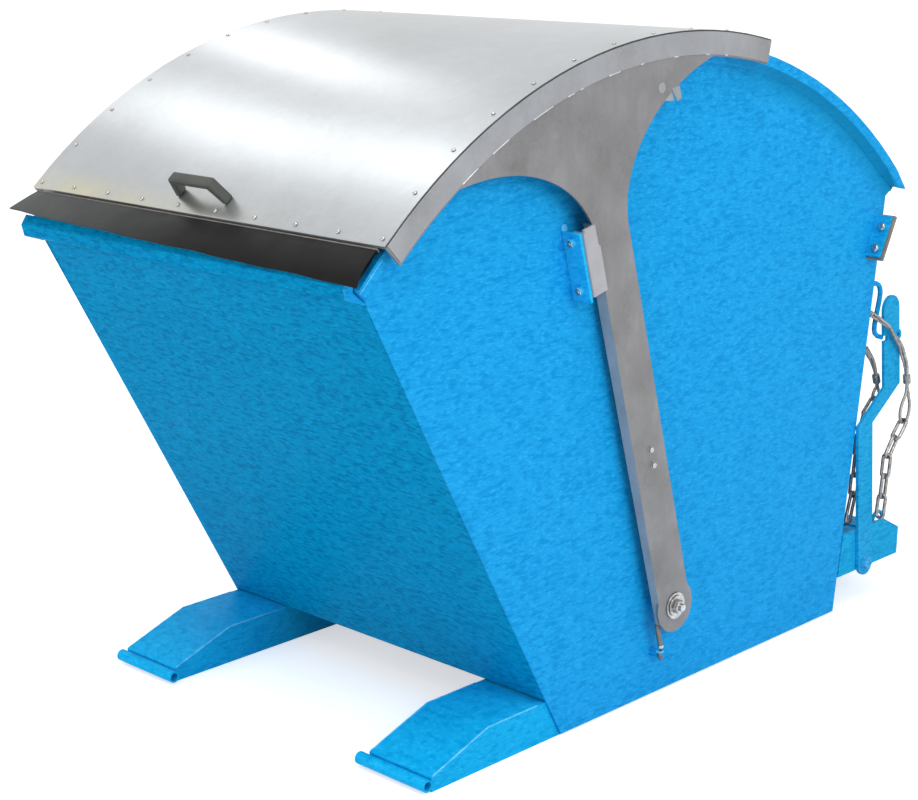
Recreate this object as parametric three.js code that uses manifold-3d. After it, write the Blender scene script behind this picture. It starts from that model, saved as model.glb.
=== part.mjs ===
// Tipping bin with a swinging lid on a forklift frame.
// Millimetres, +Z up, front of the bin towards -Y, right side towards +X.
import * as THREE from 'three'
import { mergeVertices } from 'three/addons/utils/BufferGeometryUtils.js'
import Module from 'manifold-3d'

const wasm = await Module()
wasm.setup()

// Gaps shared by every seat
const fitGap = 0.3
const turnGap = 0.8
const overrun = 3

// Bin body: side plates, panels and the opening's edge
const bodyHalfWidth = 535
const sideThickness = 5
const panelThickness = 4
const panelSideGap = 0.3
const frontFootReach = 335
const rearFootReach = 704
const skirtGroundGap = 4
const panelFootHeight = 97
const lidPivotHeight = 225

// Curved rear hood and the arc strips along the side plates
const hoodRadius = 1266
const hoodThickness = 3
const hoodLipDepth = 38
const hoodRearAngle = 43.3
const hoodFrontAngle = 80
const bodyFrontAngle = 136.6
const arcStripDepth = 44
const arcStripWidth = 17
const rearTopInset = 20
const rearTopDrop = 8
const arcStep = 2.5

// Folded front rim, measured from the seam at the top of the front edge
const seamBack = 31
const seamDrop = 32
const rimThickness = 4
const rimToeReach = 52
const rimToeRise = 18
const rimNoseReach = 58
const rimNoseRise = 44
const rimCrestReach = 44
const rimCrestRise = 64
const rimReturnReach = 22
const rimReturnRise = 53

// Lid: sheet, bands, anchor shaped arms
const lidRunGap = 24.7
const lidSheetThickness = 3
const lidOverhang = 45
const lidRearAngle = 75.9
const lidFrontAngle = 132.7
const bandDepth = 52.7
const armThickness = 6
const armFaceProud = 1
const armAxisAngle = 104.2
const armHalfWidth = 52
const armFootRadius = 62
const armFlangeWidth = 25
const armFlangeThickness = 5
const armFlangeRise = 42.1
const armFlangeFoot = 28
const flareStartShare = 0.739
const flareBendShare = 0.84
const flareOutShare = 0.1535
const flareUpShare = 0.937
const flareEndAngle = 19.1
const flareSteps = 8

// Lid edges, apron and handle
const edgeFlangeWidth = 26.7
const edgeFlangeThickness = 5
const frontAngleDepth = 20
const frontAngleReach = 30
const frontAngleThickness = 4
const apronOverhang = 25
const apronReach = 75
const apronDrop = 43
const apronThickness = 5
const apronSeatGap = 0.8
const handleAngle = 130.6
const handleLength = 168
const handleBarLength = 132
const handleStand = 56
const handleBarThickness = 15
const handleLegThickness = 13
const handleWidth = 25

// Lid pivots, stops and assist rods
const bossRadius = 30
const studRadius = 12
const washerRadius = 35
const washerThickness = 3
const smallWasherRadius = 25
const nutRadius = 17
const nutHeight = 14
const studEndRadius = 11
const studEndHeight = 5
const stopPlateDrop = 113.9
const stopPlateLength = 156
const stopPlateReach = 50
const stopPlateThickness = 8
const stopPlateSet = 97
const bufferRise = 11
const bufferLength = 134
const bufferPeak = 14
const bufferShoulder = 100
const bufferOuterReach = 55
const bufferInnerReach = 26
const bufferNutSpacing = 107
const bufferNutRise = 28
const bufferNutReach = 26
const bufferNutRadius = 11
const bufferNutHeight = 9
const rearStopSet = 59.6
const rearStopDrop = 138.1
const rearStopLength = 107
const rearStopLean = 27.8
const rearStopWidth = 40
const rearStopThickness = 8
const rearPadThickness = 10
const rearPadOverlap = 5
const rearBoltFoot = 20
const rearBoltSpacing = 56
const rearBoltReach = 24
const rearBoltRadius = 10
const rearBoltHeight = 6
const rodRadius = 6
const rodTipRadius = 2.5
const rodStand = 27
const rodLength = 56
const rodTipLength = 15
const pegDepth = 119
const pegBack = 26
const pegRadius = 8
const pegLength = 22

// Fork pockets with sloped noses
const pocketSideGap = 1
const pocketWidth = 190
const pocketHeight = 92
const pocketWall = 5
const pocketFrontReach = 560
const pocketRearReach = 700
const noseReach = 747
const noseTubeRadius = 14
const noseTubeRise = 20
const noseTubeLength = 210
const noseTubeOverhang = 16

// Frame beams, crossmember, cheeks and the tilt hinge
const frameHeight = 162
const beamWidth = 97
const beamWall = 5
const crossDepth = 75
const crossEndSet = 4
const cheekThickness = 10
const cheekSet = 8
const cheekFootDrop = 2
const cheekEdgeGap = 2
const cheekTopHeight = 200
const cheekTail = 290
const cheekChamfer = 69
const tiltPivotSet = 33.2
const tiltPivotHeight = 135
const tiltLugLength = 72
const tiltLugSet = 67
const tiltLugThickness = 12
const tiltLugHalfHeight = 17
const tiltLugEndRadius = 20
const binLugRadius = 22
const lugSideGap = 4
const tiltPinRadius = 10
const tiltPinOverhang = 6

// Release lever on the right cheek, with its bolt
const leverPivotBack = 15.2
const leverPivotHeight = 105
const leverThickness = 9
const leverLength = 696
const leverHalfWidth = 32
const leverHeadHalfWidth = 35
const kneeHeightShare = 0.539
const kneeBackShare = -0.034
const upperStartShare = 0.658
const upperStartBackShare = 0.131
const headBackShare = 0.108
const notchDrop = 108
const notchWidth = 14
const notchDepth = 16
const leverEyeRadius = 15
const leverEyeHole = 6
const leverEyeOut = 6
const leverBoltRadius = 10
const leverBoltHeadRadius = 17
const leverBoltHeadHeight = 10

// Catch staple and rope anchor on the rear panel
const stapleLength = 126
const stapleFootRise = 7
const stapleStand = 45
const stapleSet = 10
const stapleRadius = 6.5
const stapleRise = 12
const anchorSet = 38
const anchorThickness = 8
const anchorDepth = 42
const anchorStubLength = 32
const anchorFootRise = 4
const anchorTopRise = 34
const anchorStubRadius = 8

// Ring and link on the crossmember
const ringSideSet = 23
const ringSet = 60
const ringOuterRadius = 28
const ringWireRadius = 5
const linkLength = 44
const linkWidth = 24
const linkWire = 6

// Ropes and chains
const releaseExitSet = 9
const releaseExitStand = 24.2
const releaseExitHeight = 756
const safetyExitSet = 24
const safetyExitStand = 62.4
const safetyExitHeight = 641
const ropeRadius = 6
const eyeRopeRadius = 3.5
const ferruleRadius = 10
const ferruleLength = 24
const chainWire = 8
const chainPitch = 52
const chainWidth = 28
const chainOverlap = 1
const hookWire = 9
const hookLength = 92
const hookWidth = 30

// Colours
const bluePaint = { color: 0x26a8ec, roughness: 0.5, metalness: 0.1 }
const darkBluePaint = { color: 0x1482be, roughness: 0.55, metalness: 0.1 }
const zincSheet = { color: 0xcfd3d6, roughness: 0.38, metalness: 0.85 }
const greySteel = { color: 0x96969e, roughness: 0.45, metalness: 0.7 }
const brightZinc = { color: 0xc4c6c8, roughness: 0.3, metalness: 0.9 }
const darkRubber = { color: 0x4b4644, roughness: 0.85, metalness: 0 }
const bufferRubber = { color: 0xb4b2bc, roughness: 0.7, metalness: 0 }
const handleGrey = { color: 0x4a504c, roughness: 0.6, metalness: 0 }
const ropeSteel = { color: 0x8c8a88, roughness: 0.45, metalness: 0.7 }

const axisX = new THREE.Vector3(1, 0, 0)
const axisY = new THREE.Vector3(0, 1, 0)
const axisZ = new THREE.Vector3(0, 0, 1)

// A closed geometry as a solid that can be joined and cut, and back again
function toSolid(geometry) {
  const bare = geometry.clone()
  bare.deleteAttribute('normal')
  bare.deleteAttribute('uv')
  const merged = mergeVertices(bare)
  const vertProperties = new Float32Array(merged.attributes.position.array)
  const triVerts = new Uint32Array(merged.index.array)
  return new wasm.Manifold(new wasm.Mesh({ numProp: 3, vertProperties, triVerts }))
}

function toGeometry(solid) {
  const mesh = solid.getMesh()
  const geometry = new THREE.BufferGeometry()
  geometry.setAttribute('position', new THREE.BufferAttribute(new Float32Array(mesh.vertProperties), 3))
  geometry.setIndex(new THREE.BufferAttribute(new Uint32Array(mesh.triVerts), 1))
  geometry.computeVertexNormals()
  return geometry
}

function join(...geometries) {
  return toGeometry(geometries.map(toSolid).reduce((sum, next) => sum.add(next)))
}

function cut(body, ...tools) {
  return toGeometry(tools.map(toSolid).reduce((rest, next) => rest.subtract(next), toSolid(body)))
}

// Outlines are lists of points; a ring of points makes a round hole or boss
function circle(radius, sides, across = 0, up = 0) {
  const points = []
  for (let i = 0; i < sides; i++) {
    const angle = (2 * Math.PI * i) / sides
    points.push([across + radius * Math.cos(angle), up + radius * Math.sin(angle)])
  }
  return points
}

function shapeFrom(outline, holes) {
  const shape = new THREE.Shape(outline.map(([a, b]) => new THREE.Vector2(a, b)))
  for (const hole of holes) shape.holes.push(new THREE.Path(hole.map(([a, b]) => new THREE.Vector2(a, b))))
  return shape
}

// An outline in (y, z) pushed along X, and one in (x, z) pushed along Y
function alongX(outline, from, to, holes = []) {
  const geometry = new THREE.ExtrudeGeometry(shapeFrom(outline, holes), { depth: to - from, bevelEnabled: false })
  geometry.applyMatrix4(new THREE.Matrix4().makeBasis(axisY, axisZ, axisX).setPosition(from, 0, 0))
  return geometry
}

function alongY(outline, from, to, holes = []) {
  const geometry = new THREE.ExtrudeGeometry(shapeFrom(outline, holes), { depth: to - from, bevelEnabled: false })
  const back = axisY.clone().negate()
  geometry.applyMatrix4(new THREE.Matrix4().makeBasis(axisX, axisZ, back).setPosition(0, to, 0))
  return geometry
}

function box(x0, x1, y0, y1, z0, z1) {
  return alongX([[y0, z0], [y1, z0], [y1, z1], [y0, z1]], x0, x1)
}

// A round bar between two points, and one that follows a route
function bar(from, to, radius, sides) {
  const path = new THREE.LineCurve3(new THREE.Vector3(...from), new THREE.Vector3(...to))
  const section = shapeFrom(circle(radius, sides), [])
  return new THREE.ExtrudeGeometry(section, { steps: 1, extrudePath: path, bevelEnabled: false })
}

function tube(points, radius, sides, steps) {
  const path = new THREE.CatmullRomCurve3(points.map((p) => new THREE.Vector3(...p)), false, 'centripetal')
  const section = shapeFrom(circle(radius, sides), [])
  return new THREE.ExtrudeGeometry(section, { steps, extrudePath: path, bevelEnabled: false })
}

// Points round the lid's pivot: angles run from the rear, over the top, to the front
const polar = (radius, angle) => {
  const turn = THREE.MathUtils.degToRad(angle)
  return [radius * Math.cos(turn), radius * Math.sin(turn)]
}

function arc(radius, from, to) {
  const low = Math.min(from, to)
  const high = Math.max(from, to)
  const angles = [low]
  for (let k = Math.floor(low / arcStep) + 1; k * arcStep < high; k++) angles.push(k * arcStep)
  angles.push(high)
  if (from > to) angles.reverse()
  return angles.map((angle) => polar(radius, angle))
}

const overPivot = ([y, z]) => [y, z + lidPivotHeight]

// Where the lines through two pairs of points cross
function meet([ay, az], [by, bz], [cy, cz], [dy, dz]) {
  const cross = (by - ay) * (dz - cz) - (bz - az) * (dy - cy)
  const share = ((cy - ay) * (dz - cz) - (cz - az) * (dy - cy)) / cross
  return [ay + share * (by - ay), az + share * (bz - az)]
}

// The same open line moved sideways to its left by a thickness, with mitred corners
function offset(line, distance) {
  const sides = []
  for (let i = 0; i + 1 < line.length; i++) {
    const [ay, az] = line[i]
    const [by, bz] = line[i + 1]
    const length = Math.hypot(by - ay, bz - az)
    const shift = [(-(bz - az) * distance) / length, ((by - ay) * distance) / length]
    sides.push([[ay + shift[0], az + shift[1]], [by + shift[0], bz + shift[1]]])
  }
  const moved = [sides[0][0]]
  for (let i = 0; i + 1 < sides.length; i++) moved.push(meet(...sides[i], ...sides[i + 1]))
  moved.push(sides[sides.length - 1][1])
  return moved
}

const bentSheet = (line, distance) => [...line, ...offset(line, distance).reverse()]

// A range along X on the right side, or its mirror image on the left
const span = (sign, near, far) => (sign > 0 ? [near, far] : [-far, -near])

const whole = new THREE.Group()
const model = new THREE.Group()
const base = new THREE.Group()
const bin = new THREE.Group()
const lid = new THREE.Group()
const lever = new THREE.Group()
whole.add(model)
model.add(base, bin, lid, lever)
lid.position.z = lidPivotHeight

function place(group, name, geometry, look) {
  const mesh = new THREE.Mesh(geometry, new THREE.MeshStandardMaterial(look))
  mesh.name = name
  group.add(mesh)
  return mesh
}

const bothSides = [['left', -1], ['right', 1]]

// Lines that the body's pieces share
const sideInner = bodyHalfWidth - sideThickness
const panelHalfWidth = sideInner - panelSideGap
const hoodInner = hoodRadius - hoodThickness
const bodyTopRadius = hoodInner - fitGap
const arcEnd = overPivot(polar(bodyTopRadius, bodyFrontAngle))
const seam = [arcEnd[0] + seamBack, arcEnd[1] - seamDrop]
const frontLean = (-seam[0] - frontFootReach) / seam[1]
const frontEdge = (height) => -frontFootReach - height * frontLean
const frontSkin = panelThickness * Math.hypot(1, frontLean)
const hoodLipInner = overPivot(polar(hoodInner - hoodLipDepth, hoodRearAngle))
const rearTop = [hoodLipInner[0] - rearTopInset, hoodLipInner[1] - rearTopDrop]
const rearLean = (rearTop[0] - rearFootReach) / rearTop[1]
const rearEdge = (height) => rearFootReach + height * rearLean
const rearSkin = panelThickness * Math.hypot(1, rearLean)
const floorHeight = frameHeight + fitGap
const lipAngle = THREE.MathUtils.radToDeg((hoodThickness + fitGap) / (hoodInner - hoodLipDepth))
const sideRearAngle = hoodRearAngle + lipAngle

// Side plates, each with the peg below the lid's pivot
for (const [side, sign] of bothSides) {
  const outline = [
    [frontEdge(skirtGroundGap), skirtGroundGap],
    [rearEdge(skirtGroundGap), skirtGroundGap],
    rearTop,
    overPivot(polar(hoodInner - hoodLipDepth, sideRearAngle)),
    ...arc(bodyTopRadius, sideRearAngle, bodyFrontAngle).map(overPivot),
    seam,
  ]
  const plate = alongX(outline, ...span(sign, sideInner, bodyHalfWidth))
  const peg = alongX(
    circle(pegRadius, 12, -pegBack, lidPivotHeight - pegDepth),
    ...span(sign, sideInner + fitGap, bodyHalfWidth + pegLength),
  )
  place(bin, side + '_side_plate', join(plate, peg), bluePaint)
}

// Front panel, floor panel and rear panel with its top flange
const panelFoot = [frontEdge(panelFootHeight), panelFootHeight]
place(
  bin,
  'front_panel',
  alongX(
    [panelFoot, [panelFoot[0] + frontSkin, panelFootHeight], [seam[0] + frontSkin, seam[1]], seam],
    -panelHalfWidth,
    panelHalfWidth,
  ),
  darkBluePaint,
)
const floorTop = floorHeight + panelThickness
const floorFront = frontEdge(floorHeight) + frontSkin + fitGap
const floorRear = rearEdge(floorHeight) - rearSkin - fitGap
place(
  bin,
  'floor_panel',
  box(-panelHalfWidth, panelHalfWidth, floorFront, floorRear, floorHeight, floorTop),
  darkBluePaint,
)
const flangeEnd = [hoodLipInner[0] - fitGap - panelThickness / 4, hoodLipInner[1] - fitGap]
const rearLine = [[rearEdge(floorHeight), floorHeight], rearTop, flangeEnd]
place(
  bin,
  'rear_panel',
  alongX(bentSheet(rearLine, panelThickness), -panelHalfWidth, panelHalfWidth),
  darkBluePaint,
)

// Rear hood with its lip turned in
const lipTurn = THREE.MathUtils.radToDeg(hoodThickness / (hoodInner - hoodLipDepth))
place(
  bin,
  'rear_hood',
  alongX(
    [
      ...arc(hoodRadius, hoodFrontAngle, hoodRearAngle),
      polar(hoodInner - hoodLipDepth, hoodRearAngle),
      polar(hoodInner - hoodLipDepth, hoodRearAngle + lipTurn),
      ...arc(hoodInner, hoodRearAngle + lipTurn, hoodFrontAngle),
    ].map(overPivot),
    -bodyHalfWidth,
    bodyHalfWidth,
  ),
  bluePaint,
)

// Folded front rim: its first fold starts clear of the side plates
const rimLine = [
  seam,
  [seam[0] - rimToeReach, seam[1] + rimToeRise],
  [seam[0] - rimNoseReach, seam[1] + rimNoseRise],
  [seam[0] - rimCrestReach, seam[1] + rimCrestRise],
  [seam[0] - rimReturnReach, seam[1] + rimReturnRise],
]
const rimInner = offset(rimLine, -rimThickness)
const edgeShift = fitGap * 2
const clearSeam = [seam[0] - edgeShift, seam[1]]
const clearEnd = [arcEnd[0] - edgeShift, arcEnd[1]]
const rimStart = meet(clearSeam, clearEnd, rimLine[0], rimLine[1])
const rimInnerStart = meet(clearSeam, clearEnd, rimInner[0], rimInner[1])
place(
  bin,
  'front_rim',
  alongX([rimStart, ...rimLine.slice(1), ...rimInner.slice(1).reverse(), rimInnerStart], -bodyHalfWidth, bodyHalfWidth),
  bluePaint,
)

// Arc strips along the outside of the side plates
const stripNear = bodyHalfWidth + fitGap
for (const [side, sign] of bothSides) {
  const outline = [
    ...arc(hoodRadius, hoodRearAngle, bodyFrontAngle),
    ...arc(hoodRadius - arcStripDepth, bodyFrontAngle, hoodRearAngle),
  ]
  const strip = alongX(outline.map(overPivot), ...span(sign, stripNear, bodyHalfWidth + arcStripWidth))
  place(bin, side + '_arc_rim', strip, bluePaint)
}

// Lid arms: the band and the anchor shaped plate are one piece with an inward flange
const bandOuter = hoodRadius + lidRunGap
const bandInner = bandOuter - bandDepth
const sheetInner = bandOuter + fitGap
const sheetOuter = sheetInner + lidSheetThickness
const lidHalfWidth = bodyHalfWidth + lidOverhang
const armOuterFace = lidHalfWidth + armFaceProud
const armInnerFace = armOuterFace - armThickness
const armAxis = THREE.MathUtils.degToRad(armAxisAngle)
const onArm = (back, up) => [
  up * Math.cos(armAxis) + back * Math.sin(armAxis),
  up * Math.sin(armAxis) - back * Math.cos(armAxis),
]
const flareStart = bandInner * flareStartShare
const armFlangeTop = flareStart + armFlangeRise
const flare = new THREE.CubicBezierCurve(
  new THREE.Vector2(armHalfWidth, flareStart),
  new THREE.Vector2(armHalfWidth, bandInner * flareBendShare),
  new THREE.Vector2(bandInner * flareOutShare, bandInner * flareUpShare),
  new THREE.Vector2(...polar(bandInner, 90 - flareEndAngle)),
)
const flarePoints = flare.getPoints(flareSteps).map((point) => [point.x, point.y])
const footStart = Math.acos(armHalfWidth / armFootRadius)
const footPoints = []
const footSteps = 10
for (let i = 0; i <= footSteps; i++) {
  const angle = footStart - ((Math.PI + 2 * footStart) * i) / footSteps
  footPoints.push(onArm(armFootRadius * Math.cos(angle), armFootRadius * Math.sin(angle)))
}
const armOutline = [
  ...arc(bandOuter, lidRearAngle, lidFrontAngle),
  ...arc(bandInner, lidFrontAngle, armAxisAngle + flareEndAngle).slice(0, -1),
  ...flarePoints.map(([out, up]) => onArm(-out, up)).reverse(),
  ...[...footPoints].reverse(),
  ...flarePoints.map(([out, up]) => onArm(out, up)),
  ...arc(bandInner, armAxisAngle - flareEndAngle, lidRearAngle).slice(1),
]
const armHole = circle(studRadius + turnGap, 20)
for (const [side, sign] of bothSides) {
  const plate = alongX(armOutline, ...span(sign, armInnerFace, armOuterFace), [armHole])
  const flangeOutline = [
    onArm(-armHalfWidth, -armFlangeFoot),
    onArm(-armHalfWidth + armFlangeThickness, -armFlangeFoot),
    onArm(-armHalfWidth + armFlangeThickness, armFlangeTop),
    onArm(-armHalfWidth, armFlangeTop),
  ]
  const flange = alongX(flangeOutline, ...span(sign, armInnerFace - armFlangeWidth, armOuterFace - armThickness / 2))
  place(lid, side + '_lid_arm', join(plate, flange), greySteel)
}

// Lid sheet, edge flanges beside the bands, and the angle under the front edge
place(
  lid,
  'lid_sheet',
  alongX(
    [...arc(sheetOuter, lidRearAngle, lidFrontAngle), ...arc(sheetInner, lidFrontAngle, lidRearAngle)],
    -lidHalfWidth,
    lidHalfWidth,
  ),
  zincSheet,
)
const flangeFar = armInnerFace - fitGap
const flangeNear = flangeFar - edgeFlangeWidth
for (const [side, sign] of bothSides) {
  const outline = [
    ...arc(bandOuter, lidRearAngle, lidFrontAngle),
    ...arc(bandOuter - edgeFlangeThickness, lidFrontAngle, lidRearAngle),
  ]
  place(lid, side + '_edge_flange', alongX(outline, ...span(sign, flangeNear, flangeFar)), greySteel)
}
const angleOuter = bandOuter - 2 * fitGap
const angleLegTurn = THREE.MathUtils.radToDeg(frontAngleThickness / bandOuter)
const angleReachTurn = THREE.MathUtils.radToDeg(frontAngleReach / bandOuter)
place(
  lid,
  'front_edge_angle',
  alongX(
    [
      ...arc(angleOuter, lidFrontAngle - angleReachTurn, lidFrontAngle),
      polar(angleOuter - frontAngleDepth, lidFrontAngle),
      polar(angleOuter - frontAngleDepth, lidFrontAngle - angleLegTurn),
      polar(angleOuter - frontAngleThickness, lidFrontAngle - angleLegTurn),
      polar(angleOuter - frontAngleThickness, lidFrontAngle - angleReachTurn),
    ],
    -(flangeNear - fitGap),
    flangeNear - fitGap,
  ),
  greySteel,
)

// Rubber apron in front of the lid's front edge
const seatTurn = THREE.MathUtils.radToDeg(apronSeatGap / bandOuter)
const apronStart = polar(bandOuter - apronThickness / 2, lidFrontAngle + seatTurn)
const apronEnd = [apronStart[0] - apronReach, apronStart[1] - apronDrop]
const apronHalfWidth = bodyHalfWidth + apronOverhang
const apronLine = offset([apronStart, apronEnd], apronThickness / 2)
place(
  lid,
  'front_apron',
  alongX(bentSheet(apronLine, -apronThickness), -apronHalfWidth, apronHalfWidth),
  darkRubber,
)

// Bow handle standing on the sheet: a bar on two splayed legs, cut from one profile
const handleFoot = handleLength / 2
const handleShoulder = handleBarLength / 2
const handleBow = new THREE.ExtrudeGeometry(
  shapeFrom([
    [-handleFoot, 0],
    [-handleFoot + handleLegThickness, 0],
    [-handleShoulder + handleLegThickness, handleStand - handleBarThickness],
    [handleShoulder - handleLegThickness, handleStand - handleBarThickness],
    [handleFoot - handleLegThickness, 0],
    [handleFoot, 0],
    [handleShoulder, handleStand],
    [-handleShoulder, handleStand],
  ], []),
  { depth: handleWidth, bevelEnabled: false },
)
handleBow.translate(0, 0, -handleWidth / 2)
const handleOut = new THREE.Vector3(0, ...polar(1, handleAngle))
const handleSeat = handleOut.clone().multiplyScalar(sheetOuter + fitGap)
handleBow.applyMatrix4(
  new THREE.Matrix4().makeBasis(axisX, handleOut, new THREE.Vector3().crossVectors(axisX, handleOut)).setPosition(handleSeat),
)
place(lid, 'lid_handle', handleBow, handleGrey)

// Assist rods that hang from the arms below the flange
for (const [side, sign] of bothSides) {
  const at = sign * (bodyHalfWidth + rodStand)
  const rodBack = -armHalfWidth + armFlangeThickness / 2
  const rodTop = -armFlangeFoot - fitGap
  const rod = bar([at, ...onArm(rodBack, rodTop)], [at, ...onArm(rodBack, rodTop - rodLength)], rodRadius, 10)
  const tipFoot = rodTop - rodLength - rodTipLength
  const tip = bar([at, ...onArm(rodBack, rodTop - rodLength / 2)], [at, ...onArm(rodBack, tipFoot)], rodTipRadius, 8)
  place(lid, side + '_assist_rod', join(rod, tip), greySteel)
}

// Pivot stubs through the arms, and the nuts with their washers
function turned(profile, sides, reach, sign) {
  const points = [[0, profile[0][1]], ...profile, [0, profile[profile.length - 1][1]]]
  const geometry = new THREE.LatheGeometry(points.map(([r, h]) => new THREE.Vector2(r, h)), sides)
  geometry.rotateZ((-sign * Math.PI) / 2)
  geometry.translate(reach * sign, 0, 0)
  return geometry
}
const bossLength = armInnerFace - fitGap - stripNear
const studLength = armOuterFace + fitGap - stripNear
for (const [side, sign] of bothSides) {
  const stub = turned(
    [[bossRadius, 0], [bossRadius, bossLength], [studRadius, bossLength], [studRadius, studLength]],
    20,
    stripNear,
    sign,
  )
  stub.translate(0, 0, lidPivotHeight)
  place(bin, side + '_pivot_stub', stub, bluePaint)
  const smallTop = 2 * washerThickness
  const nutTop = smallTop + nutHeight
  const endTop = nutTop + studEndHeight
  const nut = turned(
    [
      [washerRadius, 0],
      [washerRadius, washerThickness],
      [smallWasherRadius, washerThickness],
      [smallWasherRadius, smallTop],
      [nutRadius, smallTop],
      [nutRadius, nutTop],
      [studEndRadius, nutTop],
      [studEndRadius, endTop],
    ],
    18,
    stripNear + studLength + fitGap,
    sign,
  )
  nut.translate(0, 0, lidPivotHeight)
  place(bin, side + '_pivot_nut', nut, brightZinc)
}

// Front stops: a plate on the body and a buffer that the arm's flange rests on
const stopPlateFoot = flareStart - stopPlateDrop
const bufferFoot = stopPlateFoot + bufferRise
const bufferNutFoot = stopPlateFoot + bufferNutRise
for (const [side, sign] of bothSides) {
  const plateOutline = [
    onArm(-stopPlateSet - stopPlateThickness, stopPlateFoot),
    onArm(-stopPlateSet, stopPlateFoot),
    onArm(-stopPlateSet, stopPlateFoot + stopPlateLength),
    onArm(-stopPlateSet - stopPlateThickness, stopPlateFoot + stopPlateLength),
  ]
  const plate = alongX(plateOutline.map(overPivot), ...span(sign, stripNear, bodyHalfWidth + stopPlateReach))
  const nuts = [bufferNutFoot, bufferNutFoot + bufferNutSpacing].map((up) => {
    const at = sign * (bodyHalfWidth + bufferNutReach)
    const near = overPivot(onArm(-stopPlateSet - stopPlateThickness / 2, up))
    const far = overPivot(onArm(-stopPlateSet - stopPlateThickness - bufferNutHeight, up))
    return bar([at, ...near], [at, ...far], bufferNutRadius, 6)
  })
  place(bin, side + '_front_stop', join(plate, ...nuts), bluePaint)
  const bufferNear = -stopPlateSet + fitGap
  const bufferFar = -armHalfWidth - fitGap
  const bufferOutline = [
    onArm(bufferNear, bufferFoot),
    onArm(bufferFar, bufferFoot),
    onArm(bufferFar, bufferFoot + bufferShoulder),
    onArm(bufferNear, bufferFoot + bufferLength + bufferPeak),
  ]
  const buffer = alongX(
    bufferOutline.map(overPivot),
    ...span(sign, bodyHalfWidth + bufferInnerReach, bodyHalfWidth + bufferOuterReach),
  )
  place(bin, side + '_front_buffer', buffer, bufferRubber)
}

// Rear stops: a plate with two bolt heads, and a backing pad
const stopLean = THREE.MathUtils.degToRad(rearStopLean)
const rearStopFootHeight = rearTop[1] - rearStopDrop
const rearStopFootReach = rearEdge(rearStopFootHeight) - rearStopSet
const onStop = (along, through) => [
  rearStopFootReach + along * Math.sin(stopLean) + through * Math.cos(stopLean),
  rearStopFootHeight + along * Math.cos(stopLean) - through * Math.sin(stopLean),
]
for (const [side, sign] of bothSides) {
  const outline = [
    onStop(0, 0),
    onStop(0, rearStopThickness),
    onStop(rearStopLength, rearStopThickness),
    onStop(rearStopLength, 0),
  ]
  const plate = alongX(outline, ...span(sign, stripNear, bodyHalfWidth + rearStopWidth))
  const heads = [rearBoltFoot, rearBoltFoot + rearBoltSpacing].map((along) => {
    const at = sign * (bodyHalfWidth + rearBoltReach)
    return bar([at, ...onStop(along, rearStopThickness / 2)], [at, ...onStop(along, -rearBoltHeight)], rearBoltRadius, 12)
  })
  place(bin, side + '_rear_stop', join(plate, ...heads), bluePaint)
  const padNear = rearStopThickness + fitGap
  const padOutline = [
    onStop(-rearPadOverlap, padNear),
    onStop(-rearPadOverlap, padNear + rearPadThickness),
    onStop(rearStopLength + rearPadOverlap, padNear + rearPadThickness),
    onStop(rearStopLength + rearPadOverlap, padNear),
  ]
  const pad = alongX(padOutline, ...span(sign, stripNear, bodyHalfWidth + rearStopWidth + rearPadOverlap))
  place(bin, side + '_rear_buffer', pad, bufferRubber)
}

// Fork pockets: hollow, open at the rear, closed by a sloped nose and its tube
const pocketOuter = sideInner - pocketSideGap
const pocketInner = pocketOuter - pocketWidth
const noseEnd = -(noseReach - noseTubeRadius - fitGap)
const noseTop = noseTubeRise + noseTubeRadius
for (const [side, sign] of bothSides) {
  const outer = [
    [pocketRearReach, 0],
    [pocketRearReach, pocketHeight],
    [-pocketFrontReach, pocketHeight],
    [noseEnd, noseTop],
    [noseEnd, 0],
  ]
  const slope = offset([outer[1], outer[2], outer[3], outer[4]], pocketWall)
  const insideEnd = meet(slope[1], slope[2], [noseEnd + pocketWall, 0], [noseEnd + pocketWall, noseTop])
  const mouth = pocketRearReach + overrun
  const inner = [
    [mouth, pocketWall],
    [mouth, pocketHeight - pocketWall],
    slope[1],
    insideEnd,
    [noseEnd + pocketWall, pocketWall],
  ]
  const shell = cut(
    alongX(outer, ...span(sign, pocketInner, pocketOuter)),
    alongX(inner, ...span(sign, pocketInner + pocketWall, pocketOuter - pocketWall)),
  )
  place(base, side + '_fork_pocket', shell, bluePaint)
  const tubeNear = pocketInner - noseTubeOverhang
  const noseTube = alongX(
    circle(noseTubeRadius, 16, -noseReach, noseTubeRise),
    ...span(sign, tubeNear, tubeNear + noseTubeLength),
  )
  place(base, side + '_nose_tube', noseTube, bluePaint)
}

// Frame beams on the pockets, and the rear crossmember between the cheeks
const cheekInner = bodyHalfWidth - cheekSet
const cheekRearReach = rearFootReach + cheekTail
const crossRearReach = cheekRearReach - crossEndSet
const crossFrontReach = crossRearReach - crossDepth
const beamOuter = cheekInner - fitGap
const beamInner = beamOuter - beamWidth
const beamFoot = pocketHeight + fitGap
const tiltPivotReach = -frontEdge(tiltPivotHeight) - tiltPivotSet
const beamFront = -tiltPivotReach + tiltLugLength
for (const [side, sign] of bothSides) {
  const [x0, x1] = span(sign, beamInner, beamOuter)
  const outer = [[x0, beamFoot], [x1, beamFoot], [x1, frameHeight], [x0, frameHeight]]
  const hollow = [
    [x0 + beamWall, beamFoot + beamWall],
    [x1 - beamWall, beamFoot + beamWall],
    [x1 - beamWall, frameHeight - beamWall],
    [x0 + beamWall, frameHeight - beamWall],
  ]
  place(base, side + '_frame_beam', alongY(outer, beamFront, crossFrontReach - fitGap, [hollow]), bluePaint)
}
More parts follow.
